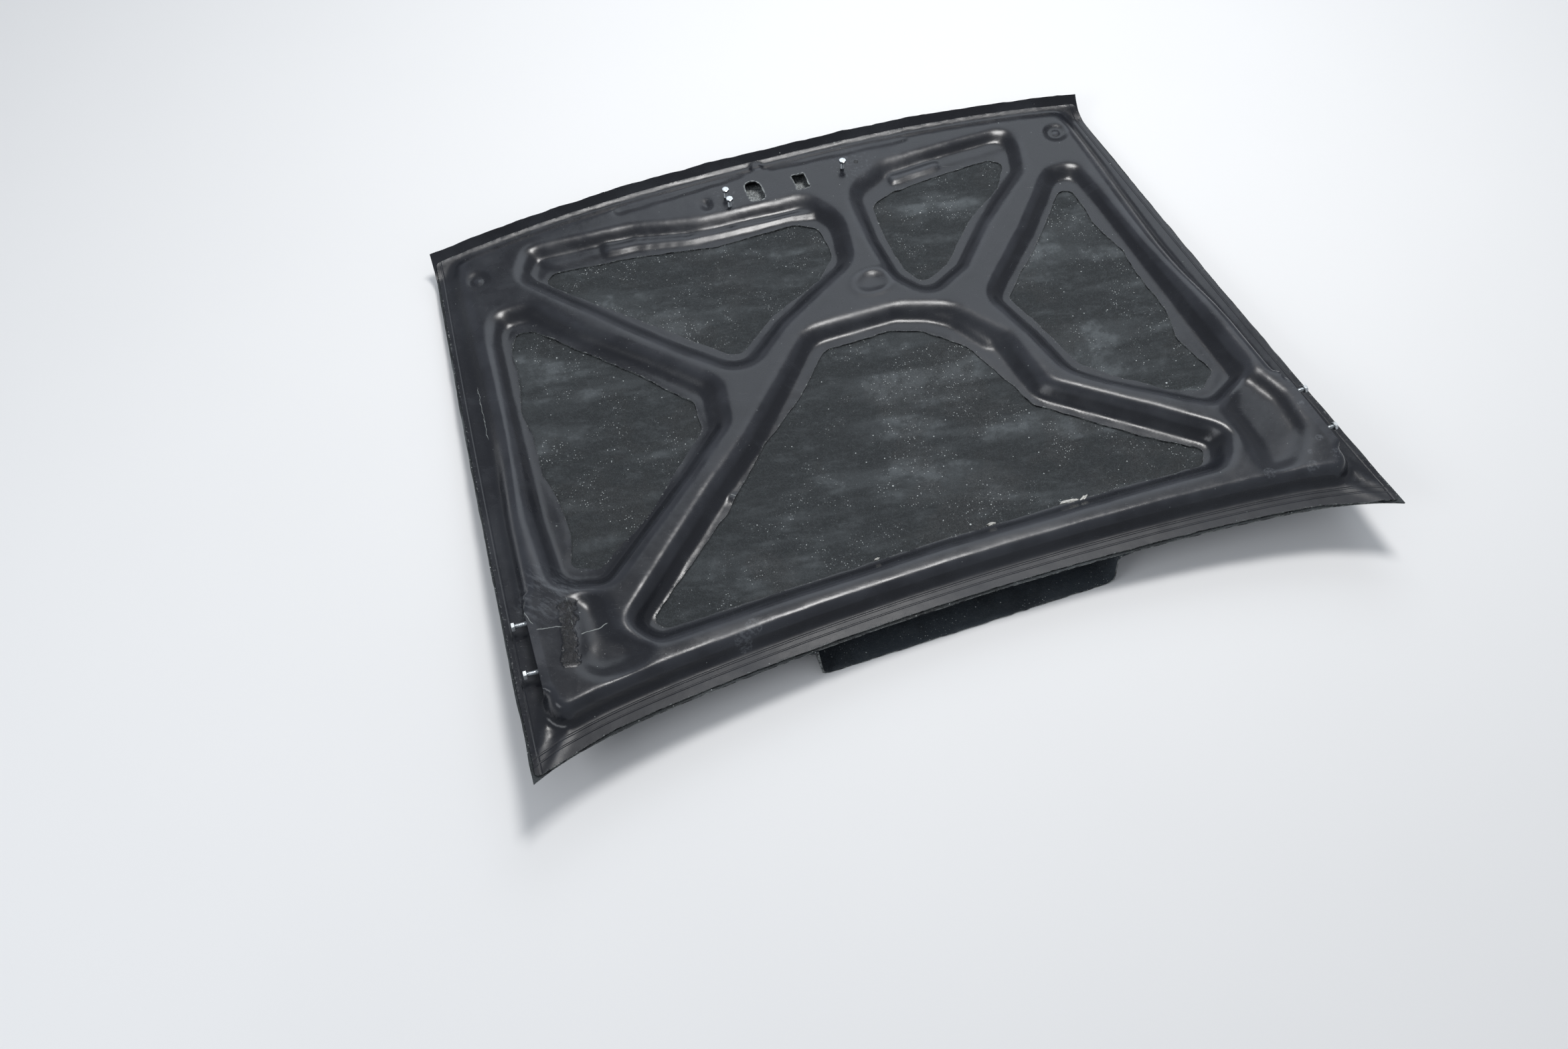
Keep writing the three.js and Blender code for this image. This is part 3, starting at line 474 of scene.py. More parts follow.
def on_face(y, z):
    """Distance from the middle of the bonnet to the leaning hinge face at a height."""
    return HINGE_FACE_X + HINGE_DRAFT * (hinge_bolt_z(sum(HINGE_FACE_Y) / 2) - z)


def on_hinge_face(y):
    return HINGE_FACE_Y[0] - HINGE_FACE_MARGIN <= y <= HINGE_FACE_Y[1] + HINGE_FACE_MARGIN


def foot_x(y):
    if on_hinge_face(y):
        return on_face(y, inside(HINGE_FACE_X, y) + WALL)
    return half_width(y) - mix(SIDE_FLANGE, FRONT_SIDE_FLANGE, float(ease(0, 500, y)))


def shoulder_x(y):
    if on_hinge_face(y):
        return on_face(y, channel_top(HINGE_FACE_X, y))
    return foot_x(y) - mix(SIDE_WALL_RUN, SIDE_RAMP_RUN, float(ease(-150, 60, y)))


def rear_foot(x):
    return rear_edge(x * REAR_WALL_INSET) + REAR_FLANGE


def front_rim(x):
    return front_edge(x) - LIP_SET_BACK


def rims():
    """Outlines of the frame's edge, of the foot of its outer wall and of the shoulder above it."""
    edge = rim_loop(
        edge_x, lambda x: rear_edge(x) + EDGE_SET_BACK, front_rim, EDGE_REAR_RADIUS, EDGE_FRONT_RADIUS)
    foot = rim_loop(
        foot_x, rear_foot, lambda x: front_rim(x) - FRONT_FLANGE,
        REAR_CORNER_RADIUS + REAR_WALL_RUN, FRONT_CORNER_RADIUS + FRONT_FLANGE)
    shoulder = rim_loop(
        shoulder_x, lambda x: rear_foot(x) + REAR_WALL_RUN,
        lambda x: front_rim(x) - FRONT_FLANGE - FRONT_WALL_RUN, REAR_CORNER_RADIUS, FRONT_CORNER_RADIUS)
    return edge, foot, shoulder


def wall_blend(depth_from_shoulder, depth_from_foot, spread=SHOULDER_SPREAD):
    """0 on top of the channel, 1 at the foot of its wall, for distances measured into the opening."""
    run = np.maximum(depth_from_shoulder - depth_from_foot, 1.0)
    share = np.clip((depth_from_shoulder + spread) / (run * WALL_RUN_SHARE + spread), 0, 1)
    return 1 - (1 - share**SHOULDER_ROUND) ** FOOT_ROUND


def near_hinge_face(x, y):
    """1 on the side walls that carry the hinges, 0 elsewhere."""
    low, high = HINGE_FACE_Y
    outer, inner = CRISP_BORDER
    beside = ease(*CRISP_X, np.abs(x))
    return beside * ease(low - outer, low - inner, y) * ease(high + outer, high + inner, y)


def trimmed_openings(x, y, wall, keep):
    """Walls and keep-line with the openings in them, and the distance to the nearest trimmed edge."""
    trim_depth = np.full(x.shape, 1e3)
    for number, (shoulder_line, foot_line, trim_line) in enumerate(OPENINGS.values()):
        top = depth_inside(rounded_loop(shoulder_line), x, y)
        low = depth_inside(rounded_loop(foot_line), x, y)
        wall = np.maximum(wall, wall_blend(top, low))
        trim = depth_inside(rounded_loop(trim_line), x, y)
        trim += TRIM_WANDER * noise(x, y, 26, 10 + number) + TRIM_JAG * noise(x, y, 9, 20 + number)
        keep = np.minimum(keep, -trim)
        trim_depth = np.minimum(trim_depth, np.abs(trim))
    return wall, keep, trim_depth


def pressed_forms(height, flange, x, y):
    """The channels with the ledges on their walls and the pockets in their tops."""
    for outline, rise in LEDGES:
        height = np.maximum(height, flange + rise * ease(0, LEDGE_RUN, depth_inside(outline, x, y)))
    for corners, run, depth in POCKETS:
        pressed = ease(0, run, depth_inside(rounded_loop(corners), x, y))
        if run > POCKET_SOFT_RUN:
            pressed = blur(pressed, POCKET_SOFTNESS)
        height = np.minimum(height, channel_top(x, y) - depth * pressed)
    return height


def seats_and_boss(x, y):
    """Relief of the bumper seats, a button in a hollow each, and of the dimpled boss."""
    relief = np.zeros(x.shape)
    for seat_x, seat_y in BUMPER_SEATS:
        away = np.hypot(x - seat_x, y - seat_y)
        relief += SEAT_BUTTON * ease(SEAT_BUTTON_RADIUS, 3, away)
        relief -= SEAT_HOLLOW * ease(SEAT_HOLLOW_RADIUS, 10, away + 2 * noise(x, y, 40, 7))
    boss = np.hypot(x - CENTRE_BOSS[0], y - CENTRE_BOSS[1])
    return relief + BOSS_RISE * ease(BOSS_RADIUS, 5, boss) - BOSS_DIMPLE * ease(BOSS_DIMPLE_RADIUS, 1, boss)


def corner_ridges(x, y):
    """Relief of the ridges that fade out towards the rear corners, and of the ring between them."""
    relief = np.zeros(x.shape)
    for (ax, ay), (bx, by), rise in RIDGES:
        dx, dy = bx - ax, by - ay
        for side in (-1, 1):
            k = np.clip(((x * side - ax) * dx + (y - ay) * dy) / (dx**2 + dy**2), 0, 1)
            away = np.hypot(x * side - mix(ax, bx, k), y - mix(ay, by, k))
            relief += rise * (1 - 0.5 * k) * np.exp(-((away / RIDGE_SPREAD) ** 2))
    ring = np.hypot(np.abs(x) - RIDGE_RING[0], y - RIDGE_RING[1])
    return relief + RING_RISE * np.exp(-(((ring - RING_RADIUS) / RING_SPREAD) ** 2))


def hand_mark(x, y):
    """Relief of the hand-sized mark in the middle: a shallow, rough dip with a raised rim."""
    patch = np.hypot((x - HAND_PATCH[0]) / HAND_STRETCH, y - HAND_PATCH[1]) + 3 * noise(x, y, 44, 8)
    rim = HAND_RIM * np.exp(-(((patch - HAND_RADIUS) / 8) ** 2))
    dip = HAND_DIP * ease(HAND_RADIUS, 6, patch)
    return rim - dip + noise(x, y, 26, 9) * ease(38, 20, patch)


def tab_relief(x, y):
    return TAB_RISE * np.exp(-(((x - TAB[0]) / TAB_SPREAD[0]) ** 2) - ((y - TAB[1]) / TAB_SPREAD[1]) ** 2)


def frame_fields(x, y):
    """Top of the inner frame, the sheet's keep-line and what its finish depends on, over a grid."""
    edge, foot, shoulder = rims()
    from_edge = depth_inside(edge, x, y)
    crisp = near_hinge_face(x, y)
    spread = SHOULDER_SPREAD * (1 - crisp)
    wall = wall_blend(-depth_inside(shoulder, x, y), -depth_inside(foot, x, y), spread)
    keep = from_edge + 0.7 * noise(x, y, 21, 3)
    wall, keep, trim_depth = trimmed_openings(x, y, wall, keep)
    cut = np.minimum(np.abs(from_edge), trim_depth)
    flange = inside(x, y) + BOND + WALL + LIP_SEAM * ease(0.5, 3.0, lip(x, y))
    height = pressed_forms(mix(channel_top(x, y), flange, wall), flange, x, y)
    height = mix(blur(height, SURFACE_SOFTNESS), height, crisp)
    height += seats_and_boss(x, y) + corner_ridges(x, y) + hand_mark(x, y) + tab_relief(x, y)
    height += (0.5 * noise(x, y, 130, 1) + 0.35 * noise(x, y, 47, 2)) * ease(2, 30, from_edge)
    for corners in LATCH_PADS:
        level = channel_top(*np.mean(corners, 0)[:2])
        height = mix(height, level, ease(-1, 4, depth_inside(rounded_loop(corners), x, y)))
    for corners in LATCH_HOLES:
        hole = depth_inside(rounded_loop(corners), x, y) + 0.9 * noise(x, y, 7, 5)
        keep = np.minimum(keep, -hole)
        cut = np.minimum(cut, np.abs(hole))
    height += TRIM_LIFT * np.maximum(noise(x, y, 34, 31), 0) * ease(14, 2, trim_depth)
    height -= TRIM_DROP * ease(9, 0, trim_depth)
    bend = height - blur(height, 1.6)
    return height, keep, cut, bend


def mesh_object(name, vertices, faces, materials, slots=None):
    """A mesh object in metres, riding on the bonnet, from points in millimetres."""
    mesh = bpy.data.meshes.new(name)
    mesh.from_pydata((np.asarray(vertices, float) * MM).tolist(), [], faces)
    for material in materials:
        mesh.materials.append(material)
    if slots is not None:
        mesh.polygons.foreach_set("material_index", np.asarray(slots, np.int32))
    mesh.polygons.foreach_set("use_smooth", np.ones(len(mesh.polygons), bool))
    mesh.update()
    mesh.set_sharp_from_angle(angle=SHARP_ANGLE)
    piece = bpy.data.objects.new(name, mesh)
    bpy.context.scene.collection.objects.link(piece)
    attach(piece, BODY)
    return piece


def set_attribute(piece, name, values):
    layer = piece.data.attributes.new(name, "FLOAT", "POINT")
    layer.data.foreach_set("value", np.asarray(values, np.float32))


def clip_grid(keep):
    """Faces over the part of a grid where keep is positive, and their points.

    A point (i, j, m, n, share) lies at a share of the way from place i, j to place m, n.
    """
    ids = {}
    points = []

    def corner(i, j):
        if (i, j) not in ids:
            ids[i, j] = len(points)
            points.append((i, j, i, j, 0.0))
        return ids[i, j]

    def crossing(p, q):
        key = (p, q) if p < q else (q, p)
        if key not in ids:
            a, b = keep[key[0]], keep[key[1]]
            ids[key] = len(points)
            points.append((*key[0], *key[1], float(np.clip(a / (a - b), 0.06, 0.94))))
        return ids[key]

    faces = []
    kept = keep > 0
    count = kept[:-1, :-1].astype(int) + kept[1:, :-1] + kept[1:, 1:] + kept[:-1, 1:]
    for i, j in zip(*(axis.tolist() for axis in np.nonzero(count))):
        ring = ((i, j), (i + 1, j), (i + 1, j + 1), (i, j + 1))
        face = []
        for p, q in zip(ring, ring[1:] + ring[:1]):
            if kept[p]:
                face.append(corner(*p))
            if kept[p] != kept[q]:
                face.append(crossing(p, q))
        if len(face) > 2:
            faces.append(face)
    return np.array(points), faces


def close_shell(top, bottom, faces):
    """One closed surface from a sheet, its copy below and a strip around every open edge."""
    count = len(top)
    sides = {(a, b) for face in faces for a, b in zip(face, face[1:] + face[:1])}
    under = [[v + count for v in reversed(face)] for face in faces]
    strip = [[a, a + count, b + count, b] for a, b in sides if (b, a) not in sides]
    slots = [0] * len(faces) + [1] * len(under) + [2] * len(strip)
    return np.vstack([top, bottom]), faces + under + strip, slots


def grid_faces(rows, columns, closed=False):
    """Quads over a grid of points, numbered row by row; a closed one joins its last column to its first."""
    faces = []
    for r in range(rows - 1):
        for c in range(columns if closed else columns - 1):
            after = (c + 1) % columns
            low, high = r * columns, (r + 1) * columns
            faces.append([low + c, low + after, high + after, high + c])
    return faces


class Recipe:
    """A node material under construction, with places measured in millimetres on the bonnet."""

    def __init__(self, name):
        self.material = bpy.data.materials.new(name)
        self.material.use_nodes = True
        self.tree = self.material.node_tree
        self.shader = self.tree.nodes["Principled BSDF"]
        place = self.add("TexCoord").outputs["Object"]
        self.place = self.add("VectorMath", {0: place, "Scale": 1 / MM}, operation="SCALE").outputs[0]

    def add(self, kind, inputs=None, **settings):
        node = self.tree.nodes.new("ShaderNode" + kind)
        for key, value in settings.items():
            setattr(node, key, value)
        for key, value in (inputs or {}).items():
            self.feed(node.inputs[key], value)
        return node

    def feed(self, socket, value):
        if isinstance(value, bpy.types.NodeSocket):
            self.tree.links.new(value, socket)
        else:
            socket.default_value = value

    def math(self, operation, first, second=0.0, clamp=False):
        return self.add("Math", {0: first, 1: second}, operation=operation, use_clamp=clamp).outputs[0]

    def times(self, first, second):
        return self.math("MULTIPLY", first, second)

    def fade(self, value, start, end, low=0.0, high=1.0):
        """Value turned smoothly from low at start to high at end."""
        inputs = {"Value": value, "From Min": start, "From Max": end, "To Min": low, "To Max": high}
        return self.add("MapRange", inputs, interpolation_type="SMOOTHSTEP").outputs["Result"]

    def near(self, value, place, outer, inner):
        """1 where a value is close to a given one, fading from an inner to an outer distance."""
        return self.fade(self.math("ABSOLUTE", self.math("SUBTRACT", value, place)), outer, inner)

    def stretch(self, size, turn=0.0):
        """Places divided by a size along each axis, after a turn about the vertical."""
        turned = self.add("VectorRotate", {"Vector": self.place, "Angle": turn}, rotation_type="Z_AXIS")
        inputs = {0: turned.outputs[0], 1: tuple(1 / s for s in size)}
        return self.add("VectorMath", inputs, operation="MULTIPLY").outputs[0]

    def noise(self, size, detail=2.0, rough=0.5, turn=0.0):
        size = size if isinstance(size, tuple) else (size, size, size)
        inputs = {"Vector": self.stretch(size, turn), "Scale": 1.0, "Detail": detail, "Roughness": rough}
        return self.add("TexNoise", inputs).outputs["Fac"]

    def specks(self, spacing, radius, share):
        """Round dots: a share of the cells of the given spacing holds one."""
        cells = self.add("TexVoronoi", {"Vector": self.place, "Scale": 1 / spacing})
        dot = self.fade(cells.outputs["Distance"], radius / spacing, 0.6 * radius / spacing)
        chosen = self.add("SeparateColor", {"Color": cells.outputs["Color"]}).outputs[0]
        return self.times(dot, self.fade(chosen, 1 - share, 1.0001 - share * 0.8))

    def strokes(self, length, width, turn, start, end):
        """Fine straight fibres or scratches running one way."""
        return self.fade(self.noise((length, width, width), 1.0, 0.4, turn), start, end)

    def most(self, first, *others):
        for other in others:
            first = self.math("MAXIMUM", first, other)
        return first

    def blend(self, factor, first, second):
        return self.add("Mix", {0: factor, 6: first, 7: second}, data_type="RGBA").outputs[2]

    def over(self, colour, second, mask, share):
        """A second colour laid over the first where a mask is 1, up to a share."""
        return self.blend(self.times(mask, share), colour, second)

    def attribute(self, name):
        return self.add("Attribute", attribute_name=name).outputs["Fac"]

    def spot(self, centre, radius, soft):
        """1 inside an upright cylinder around a place on the plan."""
        flat = self.add("VectorMath", {0: self.place, 1: (1, 1, 0)}, operation="MULTIPLY").outputs[0]
        away = self.add("VectorMath", {0: flat, 1: (*centre, 0)}, operation="DISTANCE").outputs["Value"]
        return self.fade(away, radius + soft, radius)

    def reach(self, x, y):
        """How far a place on the plan lies in a direction."""
        inputs = {0: self.place, 1: (x, y, 0)}
        return self.add("VectorMath", inputs, operation="DOT_PRODUCT").outputs["Value"]

    def line(self, start, end, width, wander):
        """1 along a line between two places on the plan, which wanders a little."""
        x1, y1, x2, y2 = *start, *end
        length = math.hypot(x2 - x1, y2 - y1)
        ux, uy = (x2 - x1) / length, (y2 - y1) / length
        shift = self.times(self.math("SUBTRACT", self.noise(14, 3.0), 0.5), wander)
        off = self.math("ADD", self.math("SUBTRACT", self.reach(-uy, ux), ux * y1 - uy * x1), shift)
        middle = ux * (x1 + x2) / 2 + uy * (y1 + y2) / 2
        between_ends = self.near(self.reach(ux, uy), middle, length / 2, length * 0.42)
        return self.times(self.fade(self.math("ABSOLUTE", off), width, width * 0.4), between_ends)

    def bump(self, *layers):
        """Bumps one over another, each a height and its depth in millimetres."""
        normal = None
        for height, depth in layers:
            inputs = {"Height": height, "Distance": abs(depth) * MM, "Strength": 1.0}
            if normal is not None:
                inputs["Normal"] = normal
            normal = self.add("Bump", inputs, invert=depth < 0).outputs["Normal"]
        self.feed(self.shader.inputs["Normal"], normal)

    def finish(self, colour, roughness, specular=0.5, metallic=0.0):
        self.feed(self.shader.inputs["Base Color"], colour)
        self.feed(self.shader.inputs["Roughness"], roughness)
        self.shader.inputs["Specular IOR Level"].default_value = specular
        self.feed(self.shader.inputs["Metallic"], metallic)
        return self.material


def colours():
    return bpy.context.scene.bonnet_colours


def sizes():
    return bpy.context.scene.bonnet_sizes


def moulding_marks(r, colour, rough):
    """Marks of use and trimming on the frame, with painted highlight on its shoulders and painted shade in a
    bolt hole and along a ragged edge: its colour and roughness with them, and their bumps.
    """
    pick = colours()
    cut = r.attribute("cut")
    # Convex shoulders lightened: partly wear from handling, partly a painted highlight along the shoulders
    rub_and_sheen = r.times(r.fade(r.attribute("wear_and_sheen"), 0.1, 1.2), r.fade(r.noise(60, 2.0, 0.5), 0.3, 0.6, 0.35, 1.0))
    colour = r.over(colour, pick.rubbed_and_sheen, rub_and_sheen, 0.32)
    scuffs = r.most(
        r.times(r.spot(*HINGE_SCUFF), r.fade(r.noise((26, 7, 9), 4.0, 0.7, 0.9), 0.47, 0.6)),
        r.times(r.spot(*LATCH_SCUFF), r.fade(r.noise(7, 4.0, 0.7), 0.52, 0.66)),
        r.times(r.spot(*PAD_SCUFF), r.fade(r.noise(6, 4.0, 0.7), 0.55, 0.66)),
    )
    colour = r.over(colour, pick.scratch, scuffs, 0.32)
    crumbs = r.noise(5, 4.0, 0.7)
    flecks = r.times(r.fade(cut, 14, 2), r.fade(r.noise((9, 2.4, 3), 3.0, 0.7, 0.5), 0.66, 0.74))
    frayed = r.times(r.fade(cut, 3.0, 0.4), r.fade(crumbs, 0.54, 0.66))
    frayed = r.most(frayed, r.times(flecks, 0.4))
    colour = r.over(colour, pick.fibre, frayed, 0.62)
    cracks = r.most(*(r.line(*crack) for crack in CRACKS))
    colour = r.over(colour, pick.fibre, cracks, 0.6)
    marks = r.times(r.most(*(r.spot(place, size, 3) for place, size in SMUDGES)), r.fade(crumbs, 0.44, 0.58))
    colour = r.over(colour, pick.scratch, marks, 0.4)
    # Painted shade: the ragged edge of the left pocket is darkened almost to black, with burrs raised as
    # bumps
    band = r.line(*ROUGH_BAND)
    burrs = r.noise((4, 9, 5), 4.0, 0.75)
    colour = r.blend(r.times(band, r.fade(burrs, 0.35, 0.55)), colour, EDGE_SHADE_BLACK)
    rims = r.most(*(r.spot(centre, 36, 6) for centre in HOLE_CENTRES))
    rims = r.times(r.times(rims, r.fade(cut, 3.6, 1.0)), r.fade(crumbs, 0.4, 0.55))
    colour = r.over(colour, pick.fibre, rims, 0.75)
    # Painted shade: the empty bolt hole is coloured black instead of being cut
    hole = r.spot(*EMPTY_BOLT_HOLE)
    colour = r.blend(hole, colour, HOLE_SHADE_BLACK)
    grooves = r.most(*(r.near(r.attribute(edge), *shape) for edge, *shape in GROOVES))
    rough = r.math("ADD", rough, r.times(r.most(frayed, cracks), 0.35))
    rough = r.math("ADD", rough, r.fade(r.attribute("from_rear"), 46, 36, 0.0, 0.16))
    bumps = [(grooves, -0.6), (frayed, 0.4), (cracks, -0.3), (hole, -2.0), (r.times(band, burrs), 2.5)]
    return colour, rough, bumps


def black_gelcoat(name="black gelcoat", moulded=True):
    """Satin black with a haze of dust, specks and fine scratches, and on the frame its marks of use, with
    painted highlight and painted shade among them.
    """
    r = Recipe(name)
    pick = colours()
    haze = r.fade(r.noise(160, 4.0, 0.6), 0.42, 0.68)
    smear = r.fade(r.noise((70, 34, 40), 4.0, 0.65, 0.5), 0.5, 0.74)
    grain = r.noise(2.4, 3.0, 0.6)
    peel = r.noise(9, 2.0)
    ripple = r.noise(46, 2.0)
    scratches = r.most(
        r.strokes(46, 0.9, 0.35, 0.74, 0.8),
        r.strokes(38, 0.8, -0.8, 0.75, 0.81),
        r.strokes(30, 0.8, 1.5, 0.76, 0.82),
    )
    specks = r.most(r.specks(8, 0.9, 0.05), r.specks(17, 1.5, 0.05))
    colour = r.over(pick.gelcoat, pick.dust, haze, 0.5)
    colour = r.over(colour, pick.dust, smear, 0.3)
    colour = r.over(colour, pick.scratch, scratches, 0.35)
    colour = r.over(colour, pick.fibre, specks, 0.5)
    rough = r.math("ADD", r.fade(haze, 0, 1, 0.26, 0.35), r.times(smear, 0.06))
    bumps = [(ripple, 0.8), (peel, 0.09), (grain, 0.02), (scratches, -0.05)]
    if moulded:
        colour, rough, marks = moulding_marks(r, colour, rough)
        bumps += marks
    rough = r.math("SUBTRACT", rough, r.times(grain, 0.06), clamp=True)
    r.bump(*bumps)
    return r.finish(colour, rough, 0.42)


def bare_laminate(name="bare laminate", tint=None):
    """Rough back of a hand-laid laminate: crossed strands in dark resin, pale bands, white specks, and a
    painted pool of light under the latch holes.
    """
    r = Recipe(name)
    pick = colours()
    strands = r.most(*(r.strokes(20, 1.5, 0.5 + 0.79 * k, 0.53, 0.66) for k in range(4)))
    fine = r.most(*(r.strokes(11, 0.8, 0.2 + 1.05 * k, 0.58, 0.7) for k in range(3)))
    weave = r.times(r.noise((1.7, 6, 4), 1.0, 0.4), r.noise((6, 1.7, 4), 1.0, 0.4))
    bands = r.fade(r.noise((280, 70, 200), 3.0, 0.55, 0.16), 0.46, 0.64)
    clouds = r.fade(r.noise(66, 5.0, 0.66), 0.42, 0.68)
    mist = r.fade(r.noise((52, 24, 20), 6.0, 0.72, 0.2), 0.48, 0.76)
    pale = r.most(r.times(bands, r.fade(clouds, 0, 1, 0.3, 1.0)), r.times(mist, 0.42))
    grit = r.fade(r.noise(1.5, 2.0, 0.6), 0.52, 0.72)
    resin = r.fade(r.noise(120, 3.0, 0.6), 0.5, 0.62)
    groups = r.fade(r.noise(62, 3.0, 0.6), 0.48, 0.64)
    grouped_specks = r.times(r.specks(4.2, 1.05, 0.5), groups)
    specks = r.most(grouped_specks, r.specks(11, 1.4, 0.22), r.specks(30, 2.2, 0.12))
    dashes = r.most(r.strokes(4, 1.2, 0.1, 0.72, 0.78), r.strokes(3, 1.1, 1.3, 0.73, 0.79))
    dashes = r.times(dashes, r.fade(groups, 0, 1, 0.2, 1.0))
    scratches = r.most(r.strokes(60, 0.9, 2.3, 0.8, 0.83), r.strokes(44, 0.9, 0.7, 0.81, 0.84))
    colour = r.over(tint or pick.laminate, pick.pale_band, pale, 0.95)
    colour = r.over(colour, pick.strand, strands, 0.22)
    colour = r.over(colour, pick.pale_band, grit, r.fade(groups, 0, 1, 0.12, 0.5))
    colour = r.over(colour, pick.pale_band, fine, 0.25)
    colour = r.over(colour, DARK_RESIN, resin, 0.35)
    # Painted light: the laminate under the latch holes is lightened towards the speckle colour, where light
    # through the holes would fall
    painted_light_under_holes = r.most(*(r.spot(centre, 34, 8) for centre in HOLE_CENTRES))
    colour = r.over(colour, pick.speckle, painted_light_under_holes, r.fade(weave, 0.18, 0.32, 0.2, 0.7))
    colour = r.over(colour, pick.speckle, specks, 0.75)
    colour = r.over(colour, pick.speckle, dashes, 0.2)
    colour = r.over(colour, pick.speckle, scratches, 0.38)
    rough = r.math("SUBTRACT", 0.74, r.times(resin, 0.2))
    r.bump((clouds, 0.8), (strands, 0.35), (fine, 0.16), (weave, 0.5), (r.most(specks, dashes), 0.3))
    return r.finish(colour, rough, 0.35)


def cut_fibre(name="cut fibre edge"):
    """Sawn or trimmed laminate edge: pale fibre ends in black resin."""
    r = Recipe(name)
    patches = r.fade(r.noise(13, 4.0, 0.7), 0.4, 0.56)
    ends = r.fade(r.noise((3.2, 3.2, 0.9), 3.0, 0.7), 0.42, 0.58)
    mask = r.times(patches, r.fade(ends, 0, 1, 0.3, 1.0))
    colour = r.over(colours().gelcoat, colours().fibre, mask, 0.75)
    r.bump((ends, 0.6), (patches, 0.5))
    return r.finish(colour, 0.8, 0.3)


def zinc_plate(name="bright zinc"):
    """Zinc-plated screws: bluish silver with dull patches and a few dark stains."""
    r = Recipe(name)
    dull = r.fade(r.noise(3.4, 4.0, 0.65), 0.4, 0.66)
    stains = r.fade(r.noise(6, 4.0, 0.7), 0.6, 0.7)
    colour = r.over(colours().zinc, DULL_ZINC, dull, 0.5)
    colour = r.over(colour, ZINC_STAIN, stains, 0.6)
    rough = r.math("ADD", r.fade(dull, 0, 1, 0.28, 0.46), r.times(stains, 0.2))
    r.bump((r.noise(0.7, 2.0), 0.03), (dull, 0.02))
    return r.finish(colour, rough, 0.5, 1.0)


def plain_steel(name="dark steel plate"):
    """Hot-rolled tapping plates behind the frame, lightly rusted."""
    r = Recipe(name)
    rust = r.fade(r.noise(11, 5.0, 0.7), 0.5, 0.64)
    scale = r.noise(2.6, 4.0, 0.6)
    colour = r.blend(scale, colours().steel, MILL_SCALE)
    colour = r.over(colour, RUST, rust, 0.7)
    r.bump((scale, 0.06), (rust, 0.12))
    return r.finish(colour, r.fade(rust, 0, 1, 0.42, 0.8), 0.5, r.fade(rust, 0, 1, 0.9, 0.05))


def paste_white(name="bonding paste"):
    """Squeezed-out bonding paste, off white and slightly dirty."""
    r = Recipe(name)
    dirt = r.fade(r.noise(5, 4.0, 0.7), 0.45, 0.7)
    colour = r.over(colours().paste, PASTE_DIRT, dirt, 0.55)
    r.bump((r.noise(2.2, 3.0, 0.6), 0.5))
    return r.finish(colour, 0.65, 0.4)


def pale_floor(name="pale floor"):
    """Matt studio floor, very slightly clouded."""
    r = Recipe(name)
    colour = r.over(colours().floor, FLOOR_CLOUD, r.noise(420, 3.0), 0.2)
    r.bump((r.noise(5, 2.0), 0.05))
    return r.finish(colour, 0.75, 0.2)


def length_prop(name, description, value):
    return bpy.props.FloatProperty(name=name, description=description, default=value, unit="LENGTH")


def count_prop(name, description, value):
    return bpy.props.IntProperty(name=name, description=description, default=value, subtype="UNSIGNED")


class BonnetSizes(bpy.types.PropertyGroup):
    cell: length_prop("Cell", "Spacing of the inner frame's surface points", 0.0048)
    skin_columns: count_prop("Skin columns", "Steps across the outer skin", 150)
    skin_rows: count_prop("Skin rows", "Steps along the outer skin, without its lip", 92)
    unevenness: length_prop("Unevenness", "How far the hand-laid skin strays from a true surface", 0.00045)
    thread_pitch: length_prop("Thread pitch", "Distance between two turns of the screw threads", 0.00125)
    thread_depth: length_prop("Thread depth", "Depth of the screw threads", 0.0007)
    bolt_diameter: length_prop("Bolt diameter", "Outer diameter of the screws", 0.008)
    head_across_flats: length_prop("Head across flats", "Width of the hexagon heads", 0.013)
    head_height: length_prop("Head height", "Height of the hexagon heads", 0.0053)
    lamp_size: length_prop("Lamp size", "Width of the main soft lamp", 1.9)


def colour_prop(name, description, value):
    return bpy.props.FloatVectorProperty(
        name=name, description=description, default=(*value, 1.0), size=4, subtype="COLOR", min=0, max=1)


class BonnetColours(bpy.types.PropertyGroup):
    gelcoat: colour_prop("Gelcoat", "Black of the moulded faces", (0.0115, 0.0125, 0.0165))
    dust: colour_prop("Dust", "Haze of dust on the gelcoat", (0.029, 0.032, 0.039))
    # Colour for shoulders lightened by wear and by a painted highlight
    rubbed_and_sheen: colour_prop("Rubbed_and_sheen", "Shoulders rubbed by handling", (0.062, 0.067, 0.08))
    scratch: colour_prop("Scratch", "Scratches and scuffs in the gelcoat", (0.12, 0.13, 0.145))
    fibre: colour_prop("Fibre", "Bare glass at cut edges and cracks", (0.42, 0.45, 0.44))
    laminate: colour_prop("Laminate", "Rough back of the outer skin", (0.0155, 0.0185, 0.0205))
    strand: colour_prop("Strand", "Glass strands under the resin", (0.052, 0.061, 0.066))
    pale_band: colour_prop("Pale band", "Paler, drier stretches of the laminate", (0.11, 0.123, 0.131))
    speckle: colour_prop("Speckle", "White specks on the laminate", (0.62, 0.66, 0.66))
    scoop: colour_prop("Scoop", "Back of the cowl scoop", (0.034, 0.044, 0.055))
    zinc: colour_prop("Zinc", "Plating of the screws", (0.62, 0.65, 0.67))
    steel: colour_prop("Steel", "Tapping plates", (0.14, 0.145, 0.15))
    paste: colour_prop("Paste", "Bonding paste", (0.62, 0.61, 0.57))
    floor: colour_prop("Floor", "Studio floor", (0.9, 0.9, 0.9))


